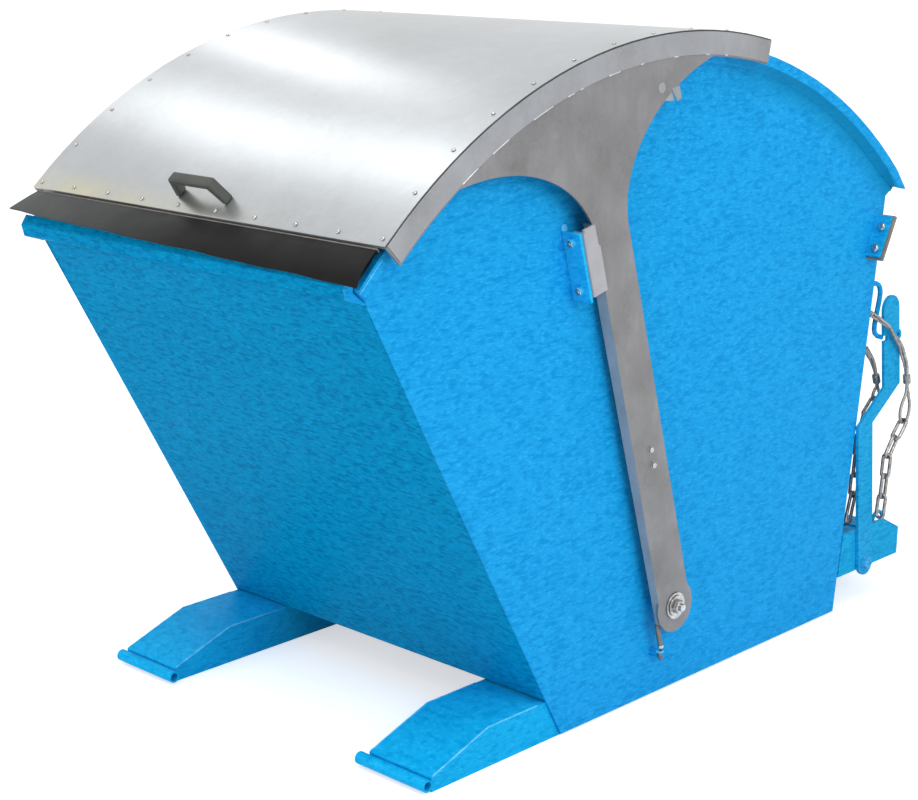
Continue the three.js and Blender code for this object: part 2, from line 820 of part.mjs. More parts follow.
place(
  base,
  'rear_crossmember',
  alongX(
    [
      [crossFrontReach, pocketHeight],
      [crossRearReach, pocketHeight],
      [crossRearReach, frameHeight],
      [crossFrontReach, frameHeight],
    ],
    -beamOuter,
    beamOuter,
    [
      [
        [crossFrontReach + beamWall, pocketHeight + beamWall],
        [crossRearReach - beamWall, pocketHeight + beamWall],
        [crossRearReach - beamWall, frameHeight - beamWall],
        [crossFrontReach + beamWall, frameHeight - beamWall],
      ],
    ],
  ),
  bluePaint,
)
const cheekFoot = pocketHeight - cheekFootDrop
for (const [side, sign] of bothSides) {
  const outline = [
    [rearEdge(cheekFoot) + cheekEdgeGap, cheekFoot],
    [crossRearReach, cheekFoot],
    [cheekRearReach, frameHeight],
    [cheekRearReach - cheekChamfer, cheekTopHeight],
    [rearEdge(cheekTopHeight) + cheekEdgeGap, cheekTopHeight],
  ]
  const cheek = alongX(outline, ...span(sign, cheekInner, cheekInner + cheekThickness))
  place(base, side + '_frame_cheek', cheek, bluePaint)
}

// Tilt hinge: lugs on the beams' front ends, lugs under the floor, and the pins
const pinHole = circle(tiltPinRadius + turnGap, 16, -tiltPivotReach, tiltPivotHeight)
const roundEnd = (radius, from, to, steps) => {
  const points = []
  for (let i = 0; i <= steps; i++) {
    const angle = THREE.MathUtils.degToRad(from + ((to - from) * i) / steps)
    points.push([-tiltPivotReach + radius * Math.cos(angle), tiltPivotHeight + radius * Math.sin(angle)])
  }
  return points
}
const tiltLugPlace = bodyHalfWidth - tiltLugSet
const lugSlant = THREE.MathUtils.radToDeg(Math.asin(tiltLugHalfHeight / tiltLugEndRadius))
for (const [side, sign] of bothSides) {
  const baseLug = alongX(
    [
      [beamFront - fitGap, tiltPivotHeight + tiltLugHalfHeight],
      ...roundEnd(tiltLugEndRadius, lugSlant, 360 - lugSlant, 12),
      [beamFront - fitGap, tiltPivotHeight - tiltLugHalfHeight],
    ],
    ...span(sign, tiltLugPlace, tiltLugPlace + tiltLugThickness),
    [pinHole],
  )
  place(base, side + '_tilt_lug', baseLug, bluePaint)
  const binLug = alongX(
    [
      [-tiltPivotReach + binLugRadius, floorHeight - fitGap],
      [-tiltPivotReach - binLugRadius, floorHeight - fitGap],
      ...roundEnd(binLugRadius, 180, 360, 10),
    ],
    ...span(sign, tiltLugPlace - lugSideGap - tiltLugThickness, tiltLugPlace - lugSideGap),
    [pinHole],
  )
  place(bin, side + '_bin_lug', binLug, bluePaint)
  const pinNear = tiltLugPlace - lugSideGap - tiltLugThickness - tiltPinOverhang
  const pinFar = tiltLugPlace + tiltLugThickness + tiltPinOverhang
  const pin = alongX(circle(tiltPinRadius, 16, -tiltPivotReach, tiltPivotHeight), ...span(sign, pinNear, pinFar))
  place(base, side + '_tilt_pin', pin, greySteel)
}

// Release lever: a cranked flat bar with a notch and an eye, turning on its bolt
const leverNear = cheekInner + cheekThickness + fitGap
const leverFar = leverNear + leverThickness
const leverAt = (backShare, heightShare, side) => [
  leverLength * backShare + side,
  leverLength * heightShare,
]
const headCentre = [leverLength * headBackShare, leverLength - leverHeadHalfWidth]
const notchHeight = leverLength - notchDrop
const pinHeight = leverPivotHeight + notchHeight
const leverPivotReach = rearEdge(pinHeight) + leverPivotBack
lever.position.set(0, leverPivotReach, leverPivotHeight)
const ringPart = ([cy, cz], radius, from, to, steps) => {
  const points = []
  for (let i = 0; i <= steps; i++) {
    const angle = THREE.MathUtils.degToRad(from + ((to - from) * i) / steps)
    points.push([cy + radius * Math.cos(angle), cz + radius * Math.sin(angle)])
  }
  return points
}
const leverOutline = [
  ...ringPart([0, 0], leverHalfWidth, 180, 360, 10),
  leverAt(kneeBackShare, kneeHeightShare, leverHalfWidth),
  leverAt(upperStartBackShare, upperStartShare, leverHeadHalfWidth),
  ...ringPart(headCentre, leverHeadHalfWidth, 0, 180, 10),
  leverAt(upperStartBackShare, upperStartShare, -leverHeadHalfWidth),
  leverAt(kneeBackShare, kneeHeightShare, -leverHalfWidth),
]
const upperStart = leverAt(upperStartBackShare, upperStartShare, 0)
const notchCentre = meet(upperStart, headCentre, [0, notchHeight], [1, notchHeight])
const frontAtNotch = notchCentre[0] - leverHeadHalfWidth
const eyeCentre = [notchCentre[0] + leverHeadHalfWidth - leverEyeOut, notchHeight]
const leverPlate = join(
  alongX(leverOutline, leverNear, leverFar),
  alongX(circle(leverEyeRadius, 16, ...eyeCentre), leverNear, leverFar),
)
place(
  lever,
  'release_lever',
  cut(
    leverPlate,
    alongX(circle(leverBoltRadius + turnGap, 16), leverNear - overrun, leverFar + overrun),
    alongX(circle(leverEyeHole, 12, ...eyeCentre), leverNear - overrun, leverFar + overrun),
    box(
      leverNear - overrun,
      leverFar + overrun,
      frontAtNotch - overrun,
      frontAtNotch + notchDepth,
      notchHeight - notchWidth / 2,
      notchHeight + notchWidth / 2,
    ),
  ),
  bluePaint,
)
const leverBolt = turned(
  [
    [leverBoltRadius, 0],
    [leverBoltRadius, leverThickness + fitGap],
    [leverBoltHeadRadius, leverThickness + fitGap],
    [leverBoltHeadRadius, leverThickness + fitGap + leverBoltHeadHeight],
  ],
  16,
  leverNear,
  1,
)
leverBolt.translate(0, leverPivotReach, leverPivotHeight)
place(base, 'lever_bolt', leverBolt, brightZinc)

// Catch staple: a bent bar behind the rear panel, ending beside the lever's notch
const stapleReach = bodyHalfWidth - stapleSet
const stapleLine = (height) => rearEdge(height) + stapleStand
const stapleFootHeight = pinHeight + stapleFootRise
const stapleTopHeight = stapleFootHeight + stapleLength
const pinReach = leverPivotReach + frontAtNotch + notchDepth / 2
const stapleEnd = [leverNear + stapleRadius, pinReach, pinHeight]
const stapleTrim = 3 * stapleRadius
place(
  bin,
  'catch_staple',
  cut(
    tube(
      [
        [stapleReach, rearEdge(stapleTopHeight + stapleRise) + stapleRadius / 2, stapleTopHeight + stapleRise],
        [stapleReach, stapleLine(stapleTopHeight) - stapleRise, stapleTopHeight + stapleRise / 2],
        [stapleReach, stapleLine(stapleTopHeight), stapleTopHeight - stapleRise],
        [stapleReach, stapleLine(stapleFootHeight), stapleFootHeight + stapleRise],
        [stapleReach + stapleRadius / 2, stapleLine(stapleFootHeight) + stapleRadius, stapleFootHeight],
        stapleEnd,
      ],
      stapleRadius,
      8,
      18,
    ),
    box(
      leverNear - fitGap,
      leverNear + stapleTrim,
      pinReach - stapleTrim,
      pinReach + stapleTrim,
      pinHeight - stapleTrim,
      pinHeight + stapleTrim,
    ),
  ),
  bluePaint,
)

// Routes of the two ropes, and their anchor: a lug with two short pressed end fittings
const hangFrom = (exit, steps) => steps.map(([out, back, up]) => [exit[0] + out, exit[1] + back, exit[2] + up])
const releaseExit = [
  bodyHalfWidth - releaseExitSet,
  rearEdge(releaseExitHeight) + releaseExitStand,
  releaseExitHeight,
]
const safetyExit = [
  bodyHalfWidth - safetyExitSet,
  rearEdge(safetyExitHeight) + safetyExitStand,
  safetyExitHeight,
]
const releaseRoute = hangFrom(releaseExit, [
  [0, 0, 0],
  [6, 3, -4],
  [12, 6, -8],
  [19, 9, -13],
  [25, 14, -19],
  [32, 22, -27],
  [33, 31, -36],
  [33, 43, -49],
  [33, 60, -65],
  [33, 76, -81],
  [33, 88, -98],
  [33, 98, -118],
  [33, 108, -137],
  [33, 114, -154],
  [33, 117, -171],
  [33, 119, -183],
  [33, 121, -195],
  [33, 122, -202],
])
const safetyRoute = hangFrom(safetyExit, [
  [0, 0, 0],
  [1, 5, -7],
  [1, 10, -15],
  [1, 15, -24],
  [1, 20, -34],
  [1, 24, -44],
  [1, 27, -53],
  [1, 30, -62],
  [1, 33, -71],
  [1, 36, -80],
])
const stubOf = (route) => {
  const [start, next] = route.map((p) => new THREE.Vector3(...p))
  const way = next.clone().sub(start).normalize()
  const foot = start.clone().addScaledVector(way, -anchorStubLength)
  const end = start.clone().addScaledVector(way, -turnGap)
  return bar(foot.toArray(), end.toArray(), anchorStubRadius, 10)
}
const anchorLug = (() => {
  const x0 = bodyHalfWidth - anchorSet
  const x1 = x0 + anchorThickness
  const foot = safetyExitHeight + anchorFootRise
  const top = releaseExitHeight + anchorTopRise
  const outline = [
    [rearEdge(foot) + fitGap, foot],
    [rearEdge(foot) + anchorDepth, foot],
    [rearEdge(top) + anchorDepth, top],
    [rearEdge(top) + fitGap, top],
  ]
  return alongX(outline, x0, x1)
})()
place(
  bin,
  'rope_anchor',
  join(
    anchorLug,
    stubOf(releaseRoute),
    stubOf(safetyRoute),
  ),
  greySteel,
)

// Release rope: two strands side by side as one round form, its ferrule and its eye
const releaseEye = hangFrom(releaseExit, [
  [33, 121, -196],
  [33, 122, -205],
  [35, 123, -215],
  [35, 129, -233],
  [35, 134, -256],
  [35, 131, -280],
  [35, 119, -296],
  [35, 104, -297],
  [35, 93, -284],
  [35, 92, -264],
  [35, 101, -242],
  [35, 114, -223],
  [33, 121, -207],
  [33, 121, -197],
])
place(
  bin,
  'release_rope',
  join(tube(releaseRoute, ropeRadius, 8, 24), tube(releaseEye, eyeRopeRadius, 6, 28)),
  ropeSteel,
)

// A pressed ferrule is a sleeve round the rope, near its end, with a small gap to it
function ferruleOn(route, fromEnd) {
  const half = ferruleLength / 2
  const inner = ropeRadius + turnGap
  const profile = [[inner, -half], [ferruleRadius, -half], [ferruleRadius, half], [inner, half], [inner, -half]]
  const geometry = new THREE.LatheGeometry(profile.map(([r, h]) => new THREE.Vector2(r, h)), 12)
  const at = route.length - fromEnd
  const before = new THREE.Vector3(...route[at - 1])
  const after = new THREE.Vector3(...route[at + 1])
  const turn = new THREE.Quaternion().setFromUnitVectors(axisY, after.sub(before).normalize())
  geometry.applyQuaternion(turn)
  geometry.translate(...route[at])
  return geometry
}
place(
  bin,
  'release_ferrule',
  ferruleOn(releaseRoute, 3),
  brightZinc,
)

// One chain link: a flat ring with round ends and bevelled edges, lying along its own X
function ringLink(length, width, wire) {
  const half = width / 2
  const straight = length / 2 - half
  const outer = [
    ...ringPart([straight, 0], half, -90, 90, 4),
    ...ringPart([-straight, 0], half, 90, 270, 4),
  ]
  const hole = [
    ...ringPart([straight, 0], half - wire, -90, 90, 4),
    ...ringPart([-straight, 0], half - wire, 90, 270, 4),
  ]
  const bevel = wire / 4
  const geometry = new THREE.ExtrudeGeometry(shapeFrom(outer, [hole.reverse()]), {
    depth: wire - 2 * bevel,
    bevelEnabled: true,
    bevelThickness: bevel,
    bevelSize: bevel,
    bevelOffset: -bevel,
    bevelSegments: 1,
  })
  geometry.translate(0, 0, bevel - wire / 2)
  return geometry
}

function layLink(geometry, centre, way, across) {
  const along = way.clone().normalize()
  const normal = new THREE.Vector3().crossVectors(along, across).normalize()
  const side = new THREE.Vector3().crossVectors(normal, along)
  geometry.applyMatrix4(new THREE.Matrix4().makeBasis(along, side, normal).setPosition(centre))
  return geometry
}

// Links laid one after another along a route, each turned a quarter from the last
function chainAlong(route, count) {
  const path = new THREE.CatmullRomCurve3(route.map((p) => new THREE.Vector3(...p)), false, 'centripetal')
  const step = chainPitch + chainOverlap
  const total = path.getLength()
  const joints = []
  for (let i = 0; i <= count; i++) joints.push(path.getPointAt(Math.min(1, (i * step) / total)))
  const links = []
  let start = joints[0]
  for (let i = 0; i < count; i++) {
    const way = joints[i + 1].clone().sub(start).normalize()
    const centre = start.clone().addScaledVector(way, step / 2)
    const across = i % 2 === 0 ? axisX : new THREE.Vector3().crossVectors(way, axisX).normalize()
    links.push(layLink(ringLink(chainPitch + 2 * chainWire, chainWidth, chainWire), centre, way, across))
    start = centre.clone().addScaledVector(way, step / 2)
  }
  return { links, end: start }
}

const releaseChainRoute = hangFrom(releaseExit, [
  [36, 108, -292],
  [36, 88, -313],
  [36, 66, -335],
  [36, 51, -352],
  [36, 38, -371],
  [36, 32, -401],
  [36, 30, -436],
  [36, 24, -469],
  [36, 17, -502],
  [36, 13, -536],
])
const releaseChain = chainAlong(releaseChainRoute, 5)
place(bin, 'release_chain', join(...releaseChain.links), ropeSteel)

// Safety rope and chain behind the lever, with the long hook at the chain's end
const safetyEye = hangFrom(safetyExit, [
  [1, 35, -75],
  [1, 37, -84],
  [1, 42, -94],
  [1, 46, -106],
  [1, 42, -118],
  [1, 31, -122],
  [1, 20, -117],
  [1, 17, -105],
  [1, 24, -92],
  [1, 33, -83],
  [1, 35, -75],
])
place(
  bin,
  'safety_rope',
  join(tube(safetyRoute, ropeRadius, 8, 12), tube(safetyEye, eyeRopeRadius, 6, 20)),
  ropeSteel,
)
place(
  bin,
  'safety_ferrule',
  ferruleOn(safetyRoute, 3),
  brightZinc,
)
const safetyChainRoute = hangFrom(safetyExit, [
  [1, 28, -115],
  [1, 9, -128],
  [1, -8, -145],
  [1, -23, -164],
  [1, -32, -191],
  [0, -38, -226],
  [0, -43, -261],
  [0, -47, -296],
  [-1, -50, -331],
  [-1, -54, -366],
])
const safetyChain = chainAlong(safetyChainRoute, 5)
place(bin, 'safety_chain', join(...safetyChain.links), ropeSteel)

// Snap hook: a long ring with a straight gate, hanging from the last link
const hookWay = new THREE.Vector3(0, -0.3, -0.95).normalize()
const lastBar = safetyChain.end.clone().addScaledVector(hookWay, (chainWire - chainOverlap) / 2)
const hookSeat = chainWire / 2 + hookWire / 2 + 3 * turnGap
const hookCentre = lastBar.addScaledVector(hookWay, (hookLength - hookWire) / 2 - hookSeat)
const hookAcross = new THREE.Vector3().crossVectors(hookWay, axisX).normalize()
place(
  bin,
  'snap_hook',
  layLink(ringLink(hookLength, hookWidth, hookWire), hookCentre, hookWay, hookAcross),
  ropeSteel,
)

// Ring on the crossmember, with a steel link through it
const ringReach = bodyHalfWidth - ringSideSet
const ringBack = crossRearReach - ringSet
const ringCentre = [ringReach, ringBack, frameHeight + fitGap + ringOuterRadius]
const ringMiddle = ringOuterRadius - ringWireRadius
const ringProfile = circle(ringWireRadius, 8).map(([r, h]) => new THREE.Vector2(ringMiddle + r, h))
const towRing = new THREE.LatheGeometry([...ringProfile, ringProfile[0]], 16)
towRing.rotateZ(Math.PI / 2)
towRing.translate(...ringCentre)
place(base, 'tow_ring', towRing, bluePaint)
const linkSeat = ringMiddle - ringWireRadius + linkLength / 2 - linkWire - fitGap
const linkCentre = new THREE.Vector3(ringReach, ringBack - linkSeat, ringCentre[2])
place(
  base,
  'ring_link',
  layLink(ringLink(linkLength, linkWidth, linkWire), linkCentre, axisY.clone(), axisX),
  brightZinc,
)

// The origin is the middle of the footprint, at the ground
const apronNose = (apronThickness / 2) * (apronDrop / Math.hypot(apronReach, apronDrop))
const frontReach = -apronEnd[0] + apronNose
model.position.y = (frontReach - cheekRearReach) / 2

export default whole
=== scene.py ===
from math import cos, hypot, pi, radians, sin

import bpy
from mathutils import Matrix, Vector


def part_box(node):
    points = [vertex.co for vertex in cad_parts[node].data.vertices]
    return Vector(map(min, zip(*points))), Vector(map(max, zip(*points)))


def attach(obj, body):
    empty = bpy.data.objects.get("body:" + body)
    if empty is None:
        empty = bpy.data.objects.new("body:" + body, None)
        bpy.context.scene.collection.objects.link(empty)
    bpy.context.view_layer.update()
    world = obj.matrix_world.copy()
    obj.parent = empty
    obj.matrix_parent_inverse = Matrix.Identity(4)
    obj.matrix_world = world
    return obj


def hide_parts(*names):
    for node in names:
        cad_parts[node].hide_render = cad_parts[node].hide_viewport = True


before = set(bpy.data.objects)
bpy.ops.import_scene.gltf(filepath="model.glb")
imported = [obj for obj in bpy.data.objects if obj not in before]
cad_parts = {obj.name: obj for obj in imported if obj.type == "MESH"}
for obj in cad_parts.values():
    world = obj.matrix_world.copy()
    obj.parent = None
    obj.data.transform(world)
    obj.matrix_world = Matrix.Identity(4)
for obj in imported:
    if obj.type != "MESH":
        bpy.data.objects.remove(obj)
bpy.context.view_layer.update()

# Fork pockets. Each is a folded steel box with a sloped nose, welded shut and sprayed
# blue with the rest of the chassis. They stand on the ground under the bin's sides.


def srgb(red, green, blue):
    """A colour read off the object, 0 to 255, as the linear values that a shader takes."""
    def linear(value):
        value /= 255
        return value / 12.92 if value <= 0.04045 else ((value + 0.055) / 1.055) ** 2.4
    return (linear(red), linear(green), linear(blue), 1.0)


def new_effect(name, colours, amounts):
    """A node group that takes a point, colours and amounts, with its inner input and output ends."""
    tree = bpy.data.node_groups.new(name, "ShaderNodeTree")
    sockets = [("Point", "INPUT", "Vector")]
    sockets += [(label, "INPUT", "Color") for label in colours]
    sockets += [(label, "INPUT", "Float") for label in amounts]
    sockets += [("Colour", "OUTPUT", "Color")]
    sockets += [(label, "OUTPUT", "Float") for label in ("Roughness", "Height")]
    for label, way, kind in sockets:
        tree.interface.new_socket(label, in_out=way, socket_type="NodeSocket" + kind)
    return tree, tree.nodes.new("NodeGroupInput").outputs, tree.nodes.new("NodeGroupOutput").inputs


def feed(tree, source, socket):
    """A socket gets a link from another node, or a plain value."""
    if isinstance(source, bpy.types.NodeSocket):
        tree.links.new(source, socket)
    else:
        socket.default_value = source


def step(tree, kind, *sources, **settings):
    """One node: its settings, then a socket or a plain value for each of its inputs in turn."""
    made = tree.nodes.new("ShaderNode" + kind)
    for key, value in settings.items():
        setattr(made, key, value)
    for index, source in enumerate(sources):
        feed(tree, source, made.inputs[index])
    return made


def product(tree, first, second):
    """Two values multiplied."""
    return step(tree, "Math", first, second, operation="MULTIPLY").outputs[0]


def total(tree, first, second):
    """Two values added."""
    return step(tree, "Math", first, second, operation="ADD").outputs[0]


def blend(tree, share, first, second):
    """Two colours mixed by a share."""
    mix = tree.nodes.new("ShaderNodeMix")
    mix.data_type = "RGBA"
    for index, source in ((0, share), (6, first), (7, second)):
        feed(tree, source, mix.inputs[index])
    return mix.outputs[2]


def noise(tree, point, size, detail=3.0, rough=0.55):
    """Noise whose lumps are about size metres across."""
    made = tree.nodes.new("ShaderNodeTexNoise")
    tree.links.new(point, made.inputs["Vector"])
    made.inputs["Scale"].default_value = 1 / size
    made.inputs["Detail"].default_value = detail
    made.inputs["Roughness"].default_value = rough
    return made.outputs["Fac"]


def ranged(tree, value, low, high, to_low=0.0, to_high=1.0):
    """A value's range low to high spread over another range and held there."""
    return step(tree, "MapRange", value, low, high, to_low, to_high, clamp=True).outputs[0]


coat, point, out = new_effect("sprayed_coat", ("Colour", "Light", "Deep"), ("Streaks", "Gloss"))
flat_lie = step(coat, "Mapping", point["Point"], (0, 0, 0), (0, 0, 0), (0.3, 0.3, 1.0)).outputs[0]
cloud = noise(coat, point["Point"], 0.11, 4, 0.6)
fleck = noise(coat, flat_lie, 0.0042, 2, 0.6)
blot = noise(coat, flat_lie, 0.0075, 2, 0.6)
tone = blend(coat, ranged(coat, cloud, 0.3, 0.7, 0.32, 0.68), point["Deep"], point["Light"])
tone = blend(coat, 0.55, tone, point["Colour"])
tone = blend(coat, product(coat, ranged(coat, fleck, 0.48, 0.68), point["Streaks"]), tone, point["Light"])
tone = blend(coat, product(coat, ranged(coat, blot, 0.52, 0.34), point["Streaks"]), tone, point["Deep"])
coat.links.new(tone, out["Colour"])
uneven = ranged(coat, noise(coat, point["Point"], 0.05, 3), 0.3, 0.7, -0.05, 0.07)
coat.links.new(total(coat, point["Gloss"], uneven), out["Roughness"])
coat.links.new(product(coat, fleck, 0.6), out["Height"])


def finish(name, roughness, metallic=0.0):
    """A new material with its shader and the object's own coordinates."""
    material = bpy.data.materials.new(name)
    material.use_nodes = True
    shader = material.node_tree.nodes["Principled BSDF"]
    shader.inputs["Roughness"].default_value = roughness
    shader.inputs["Metallic"].default_value = metallic
    here = material.node_tree.nodes.new("ShaderNodeTexCoord").outputs["Object"]
    return material, shader, here


def give(material, shader, effect, here, bump, **values):
    """Puts an effect in a material, feeds it its own values and joins it to the shader."""
    tree = material.node_tree
    made = tree.nodes.new("ShaderNodeGroup")
    made.node_tree = effect
    tree.links.new(here, made.inputs["Point"])
    for label, value in values.items():
        made.inputs[label].default_value = value
    tree.links.new(made.outputs["Colour"], shader.inputs["Base Color"])
    tree.links.new(made.outputs["Roughness"], shader.inputs["Roughness"])
    relief = tree.nodes.new("ShaderNodeBump")
    relief.inputs["Strength"].default_value = 1.0
    relief.inputs["Distance"].default_value = bump
    tree.links.new(made.outputs["Height"], relief.inputs["Height"])
    tree.links.new(relief.outputs[0], shader.inputs["Normal"])


def sprayed(name, colour, light, deep, streaks, shine=0.05):
    """Blue two-pack paint on steel: cloudy, with small flecks that lie flat."""
    gloss = 0.42
    material, shader, here = finish(name, gloss)
    give(material, shader, coat, here, 0.0003,
         Colour=srgb(*colour), Light=srgb(*light), Deep=srgb(*deep), Streaks=streaks, Gloss=gloss)
    shader.inputs["Specular IOR Level"].default_value = shine
    return material


def only(piece):
    """Nothing but this piece selected, and active, in object mode."""
    if bpy.context.object and bpy.context.object.mode != "OBJECT":
        bpy.ops.object.mode_set(mode="OBJECT")
    bpy.ops.object.select_all(action="DESELECT")
    piece.select_set(True)
    bpy.context.view_layer.objects.active = piece


def choose(piece, test, kind="FACE"):
    """In edit mode, the faces, edges or points that pass the test are selected."""
    only(piece)
    bpy.ops.object.mode_set(mode="EDIT")
    bpy.ops.mesh.select_mode(type=kind)
    bpy.ops.mesh.select_all(action="DESELECT")
    bpy.ops.object.mode_set(mode="OBJECT")
    points = piece.data.vertices
    if kind == "FACE":
        for face in piece.data.polygons:
            face.select = bool(test(face.center, face.normal))
    elif kind == "EDGE":
        for seam in piece.data.edges:
            seam.select = test(points[seam.vertices[0]].co, points[seam.vertices[1]].co)
    else:
        for vertex in points:
            vertex.select = bool(test(vertex.co))
    bpy.ops.object.mode_set(mode="EDIT")


def add_modifier(piece, kind, **settings):
    """A modifier that is applied at once."""
    only(piece)
    made = piece.modifiers.new(kind.lower(), kind)
    for key, value in settings.items():
        setattr(made, key, value)
    bpy.ops.object.modifier_apply(modifier=made.name)


def eased(piece, width, angle=40, segments=2):
    """Every edge sharper than the angle eased with a small round."""
    add_modifier(piece, "BEVEL", width=width, segments=segments, limit_method="ANGLE",
                 angle_limit=radians(angle))


def smooth(piece, angle=38):
    """Round faces shaded round, with flat faces kept flat between them."""
    only(piece)
    bpy.ops.object.shade_smooth_by_angle(angle=radians(angle))
    add_modifier(piece, "WEIGHTED_NORMAL", keep_sharp=True, weight=60)


def dressed(node, body, material, edge=0.0012, angle=38, shape=None, finer=None):
    """A merged copy of a CAD solid with its edges eased, in place of the node."""
    piece = bpy.data.objects.new(node + "_worked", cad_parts[node].data.copy())
    bpy.context.scene.collection.objects.link(piece)
    piece.data.materials.clear()
    piece.data.materials.append(material)
    only(piece)
    bpy.ops.object.mode_set(mode="EDIT")
    bpy.ops.mesh.select_all(action="SELECT")
    bpy.ops.mesh.customdata_custom_splitnormals_clear()
    bpy.ops.mesh.remove_doubles(threshold=0.00002)
    bpy.ops.mesh.dissolve_limited(angle_limit=radians(0.5))
    bpy.ops.object.mode_set(mode="OBJECT")
    if finer:
        choose(piece, finer, "EDGE")
        bpy.ops.mesh.subdivide(number_cuts=3)
        bpy.ops.object.mode_set(mode="OBJECT")
    if shape:
        for vertex in piece.data.vertices:
            vertex.co = shape(vertex.co.copy())
    if edge:
        eased(piece, edge, 30)
    smooth(piece, angle)
    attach(piece, body)
    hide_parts(node)
    return piece


sides = (("left", -1), ("right", 1))
pocket_blue = sprayed("pocket_blue", (12, 172, 232), (38, 190, 244), (0, 150, 212), 0.7, 0.03)
# The lighter blue below is a painted highlight: it colours the pocket welds, the beads on the strips' front
# ends, the side bosses and the pegs' eyes as if they caught the light.
highlight_blue = sprayed("highlight_blue", (84, 194, 246), (150, 220, 252), (40, 172, 236), 0.6)
for side, sign in sides:
    dressed(side + "_fork_pocket", "base", pocket_blue, 0.0016)


def along(name, line, section, material, closed=False):
    """A tube along a line; section gives its outline's points at a share of the length."""
    mesh_points, faces = [], []
    ways = [(line[min(i + 1, len(line) - 1)] - line[max(i - 1, 0)]).normalized() for i in range(len(line))]
    if closed:
        ways[0] = ways[-1] = (line[1] - line[-2]).normalized()
    across = ways[0].orthogonal().normalized()
    rings = []
    for index, (spot, way) in enumerate(zip(line, ways)):
        across = (across - way * across.dot(way)).normalized()
        other = way.cross(across)
        rings.append([spot + across * a + other * b for a, b in section(index / (len(line) - 1))])
    if closed:
        rings.pop()
    count = len(rings[0])
    for ring in rings:
        mesh_points.extend(ring)
    turns = len(rings) if closed else len(rings) - 1
    for row in range(turns):
        here, there = row * count, ((row + 1) % len(rings)) * count
        for i in range(count):
            j = (i + 1) % count
            faces.append((here + i, here + j, there + j, there + i))
    if not closed:
        faces.append(tuple(reversed(range(count))))
        faces.append(tuple(range(len(mesh_points) - count, len(mesh_points))))
    mesh = bpy.data.meshes.new(name)
    mesh.from_pydata(mesh_points, [], faces)
    mesh.materials.append(material)
    piece = bpy.data.objects.new(name, mesh)
    bpy.context.scene.collection.objects.link(piece)
    return piece


def round_section(radius):
    """Eight points round a bar."""
    return [(radius * cos(turn * pi / 4), radius * sin(turn * pi / 4)) for turn in range(8)]


def weld(name, points, size, body, material):
    """A weld bead: a rippled run of metal along a joint."""
    run = []
    for start, end in zip(points, points[1:]):
        start, end = Vector(start), Vector(end)
        count = max(2, round((end - start).length / 0.0022))
        run += [start.lerp(end, index / count) for index in range(count)]
    run.append(Vector(points[-1]))

    def bead(share):
        index = share * (len(run) - 1)
        ripple = 0.86 + 0.14 * abs(sin(index * 0.9)) + 0.08 * sin(index * 0.37 + size * 900)
        return round_section(size * ripple)

    piece = along(name, run, bead, material)
    only(piece)
    bpy.ops.object.shade_smooth()
    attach(piece, body)


nose_line = [(-0.7505, 0.0345), (-0.5822, 0.0912), (-0.43, 0.0914)]
weld_inset = 0.0014
for side, sign in sides:
    low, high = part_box(side + "_fork_pocket")
    walls = [low.x + weld_inset, high.x - weld_inset]
    if side == "right":
        walls.reverse()
    for wall, x in zip(("outer", "inner"), walls):
        weld(side + "_pocket_" + wall + "_weld", [(x, y, z) for y, z in nose_line], 0.0019, "base", highlight_blue)

# Nose tubes. A short steel tube is welded across each pocket's nose, with its ends open,
# so that the forks' heels and the ground don't meet a sharp edge.

tube_wall = 0.0045
bore_depth = 0.045


def drum(name, middle, axis, radius, length, material, facets=32):
    """A plain round bar along an axis, as a start for turned pieces."""
    bpy.ops.object.select_all(action="DESELECT")
    turn = Vector((0, 0, 1)).rotation_difference(Vector(axis).normalized()).to_euler()
    bpy.ops.mesh.primitive_cylinder_add(vertices=facets, radius=radius, depth=length, location=middle,
                                        rotation=turn)
    piece = bpy.context.active_object
    piece.name = name
    bpy.ops.object.transform_apply(location=True, rotation=True, scale=True)
    piece.data.materials.append(material)
    return piece


for side, sign in sides:
    low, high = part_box(side + "_nose_tube")
    middle = (low + high) / 2
    radius, length = (high.z - low.z) / 2, high.x - low.x
    tube = drum(side + "_nose_tube_open", middle, (1, 0, 0), radius, length, pocket_blue)
    choose(tube, lambda at, out: abs(out.x) > 0.9)
    bpy.ops.mesh.inset(thickness=tube_wall, use_individual=True)
    bpy.ops.mesh.extrude_region_shrink_fatten(TRANSFORM_OT_shrink_fatten={"value": -0.0001})
    for end in (-1, 1):
        choose(tube, lambda at, out: out.x * end > 0.9 and hypot(at.y - middle.y, at.z - middle.z) < 0.001)
        bpy.ops.transform.translate(value=(-bore_depth * end, 0, 0))
    bpy.ops.object.mode_set(mode="OBJECT")
    eased(tube, 0.0012)
    smooth(tube)
    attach(tube, "base")
    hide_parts(side + "_nose_tube")

# Frame. Two hollow beams lie on the pockets, with a crossmember across the rear between
# flat cheeks, all welded, and lugs with pins at the front for the bin to tip on.

frame_blue = sprayed("frame_blue", (14, 164, 220), (44, 182, 234), (2, 140, 198), 0.7, 0.03)
metal, point, out = new_effect("bare_metal", ("Colour", "Light", "Deep"), ("Cloud", "Grain", "Gloss"))
spread = step(metal, "VectorMath", point["Point"], point["Cloud"], operation="DIVIDE").outputs[0]
large = noise(metal, spread, 1.0, 5, 0.6)
drawn_out = step(metal, "Mapping", point["Point"], (0, 0, 0), (0, 0, 0), (1.0, 1.0, 0.22)).outputs[0]
smear = noise(metal, drawn_out, 0.035, 4, 0.62)
close = step(metal, "VectorMath", point["Point"], point["Grain"], operation="DIVIDE").outputs[0]
crystal = metal.nodes.new("ShaderNodeTexVoronoi")
metal.links.new(close, crystal.inputs["Vector"])
crystal.inputs["Scale"].default_value = 1.0
grey = step(metal, "SeparateColor", crystal.outputs["Color"]).outputs[0]
tone = blend(metal, ranged(metal, large, 0.32, 0.68), point["Deep"], point["Light"])
tone = blend(metal, ranged(metal, smear, 0.34, 0.66, 0.0, 0.7), tone, point["Colour"])
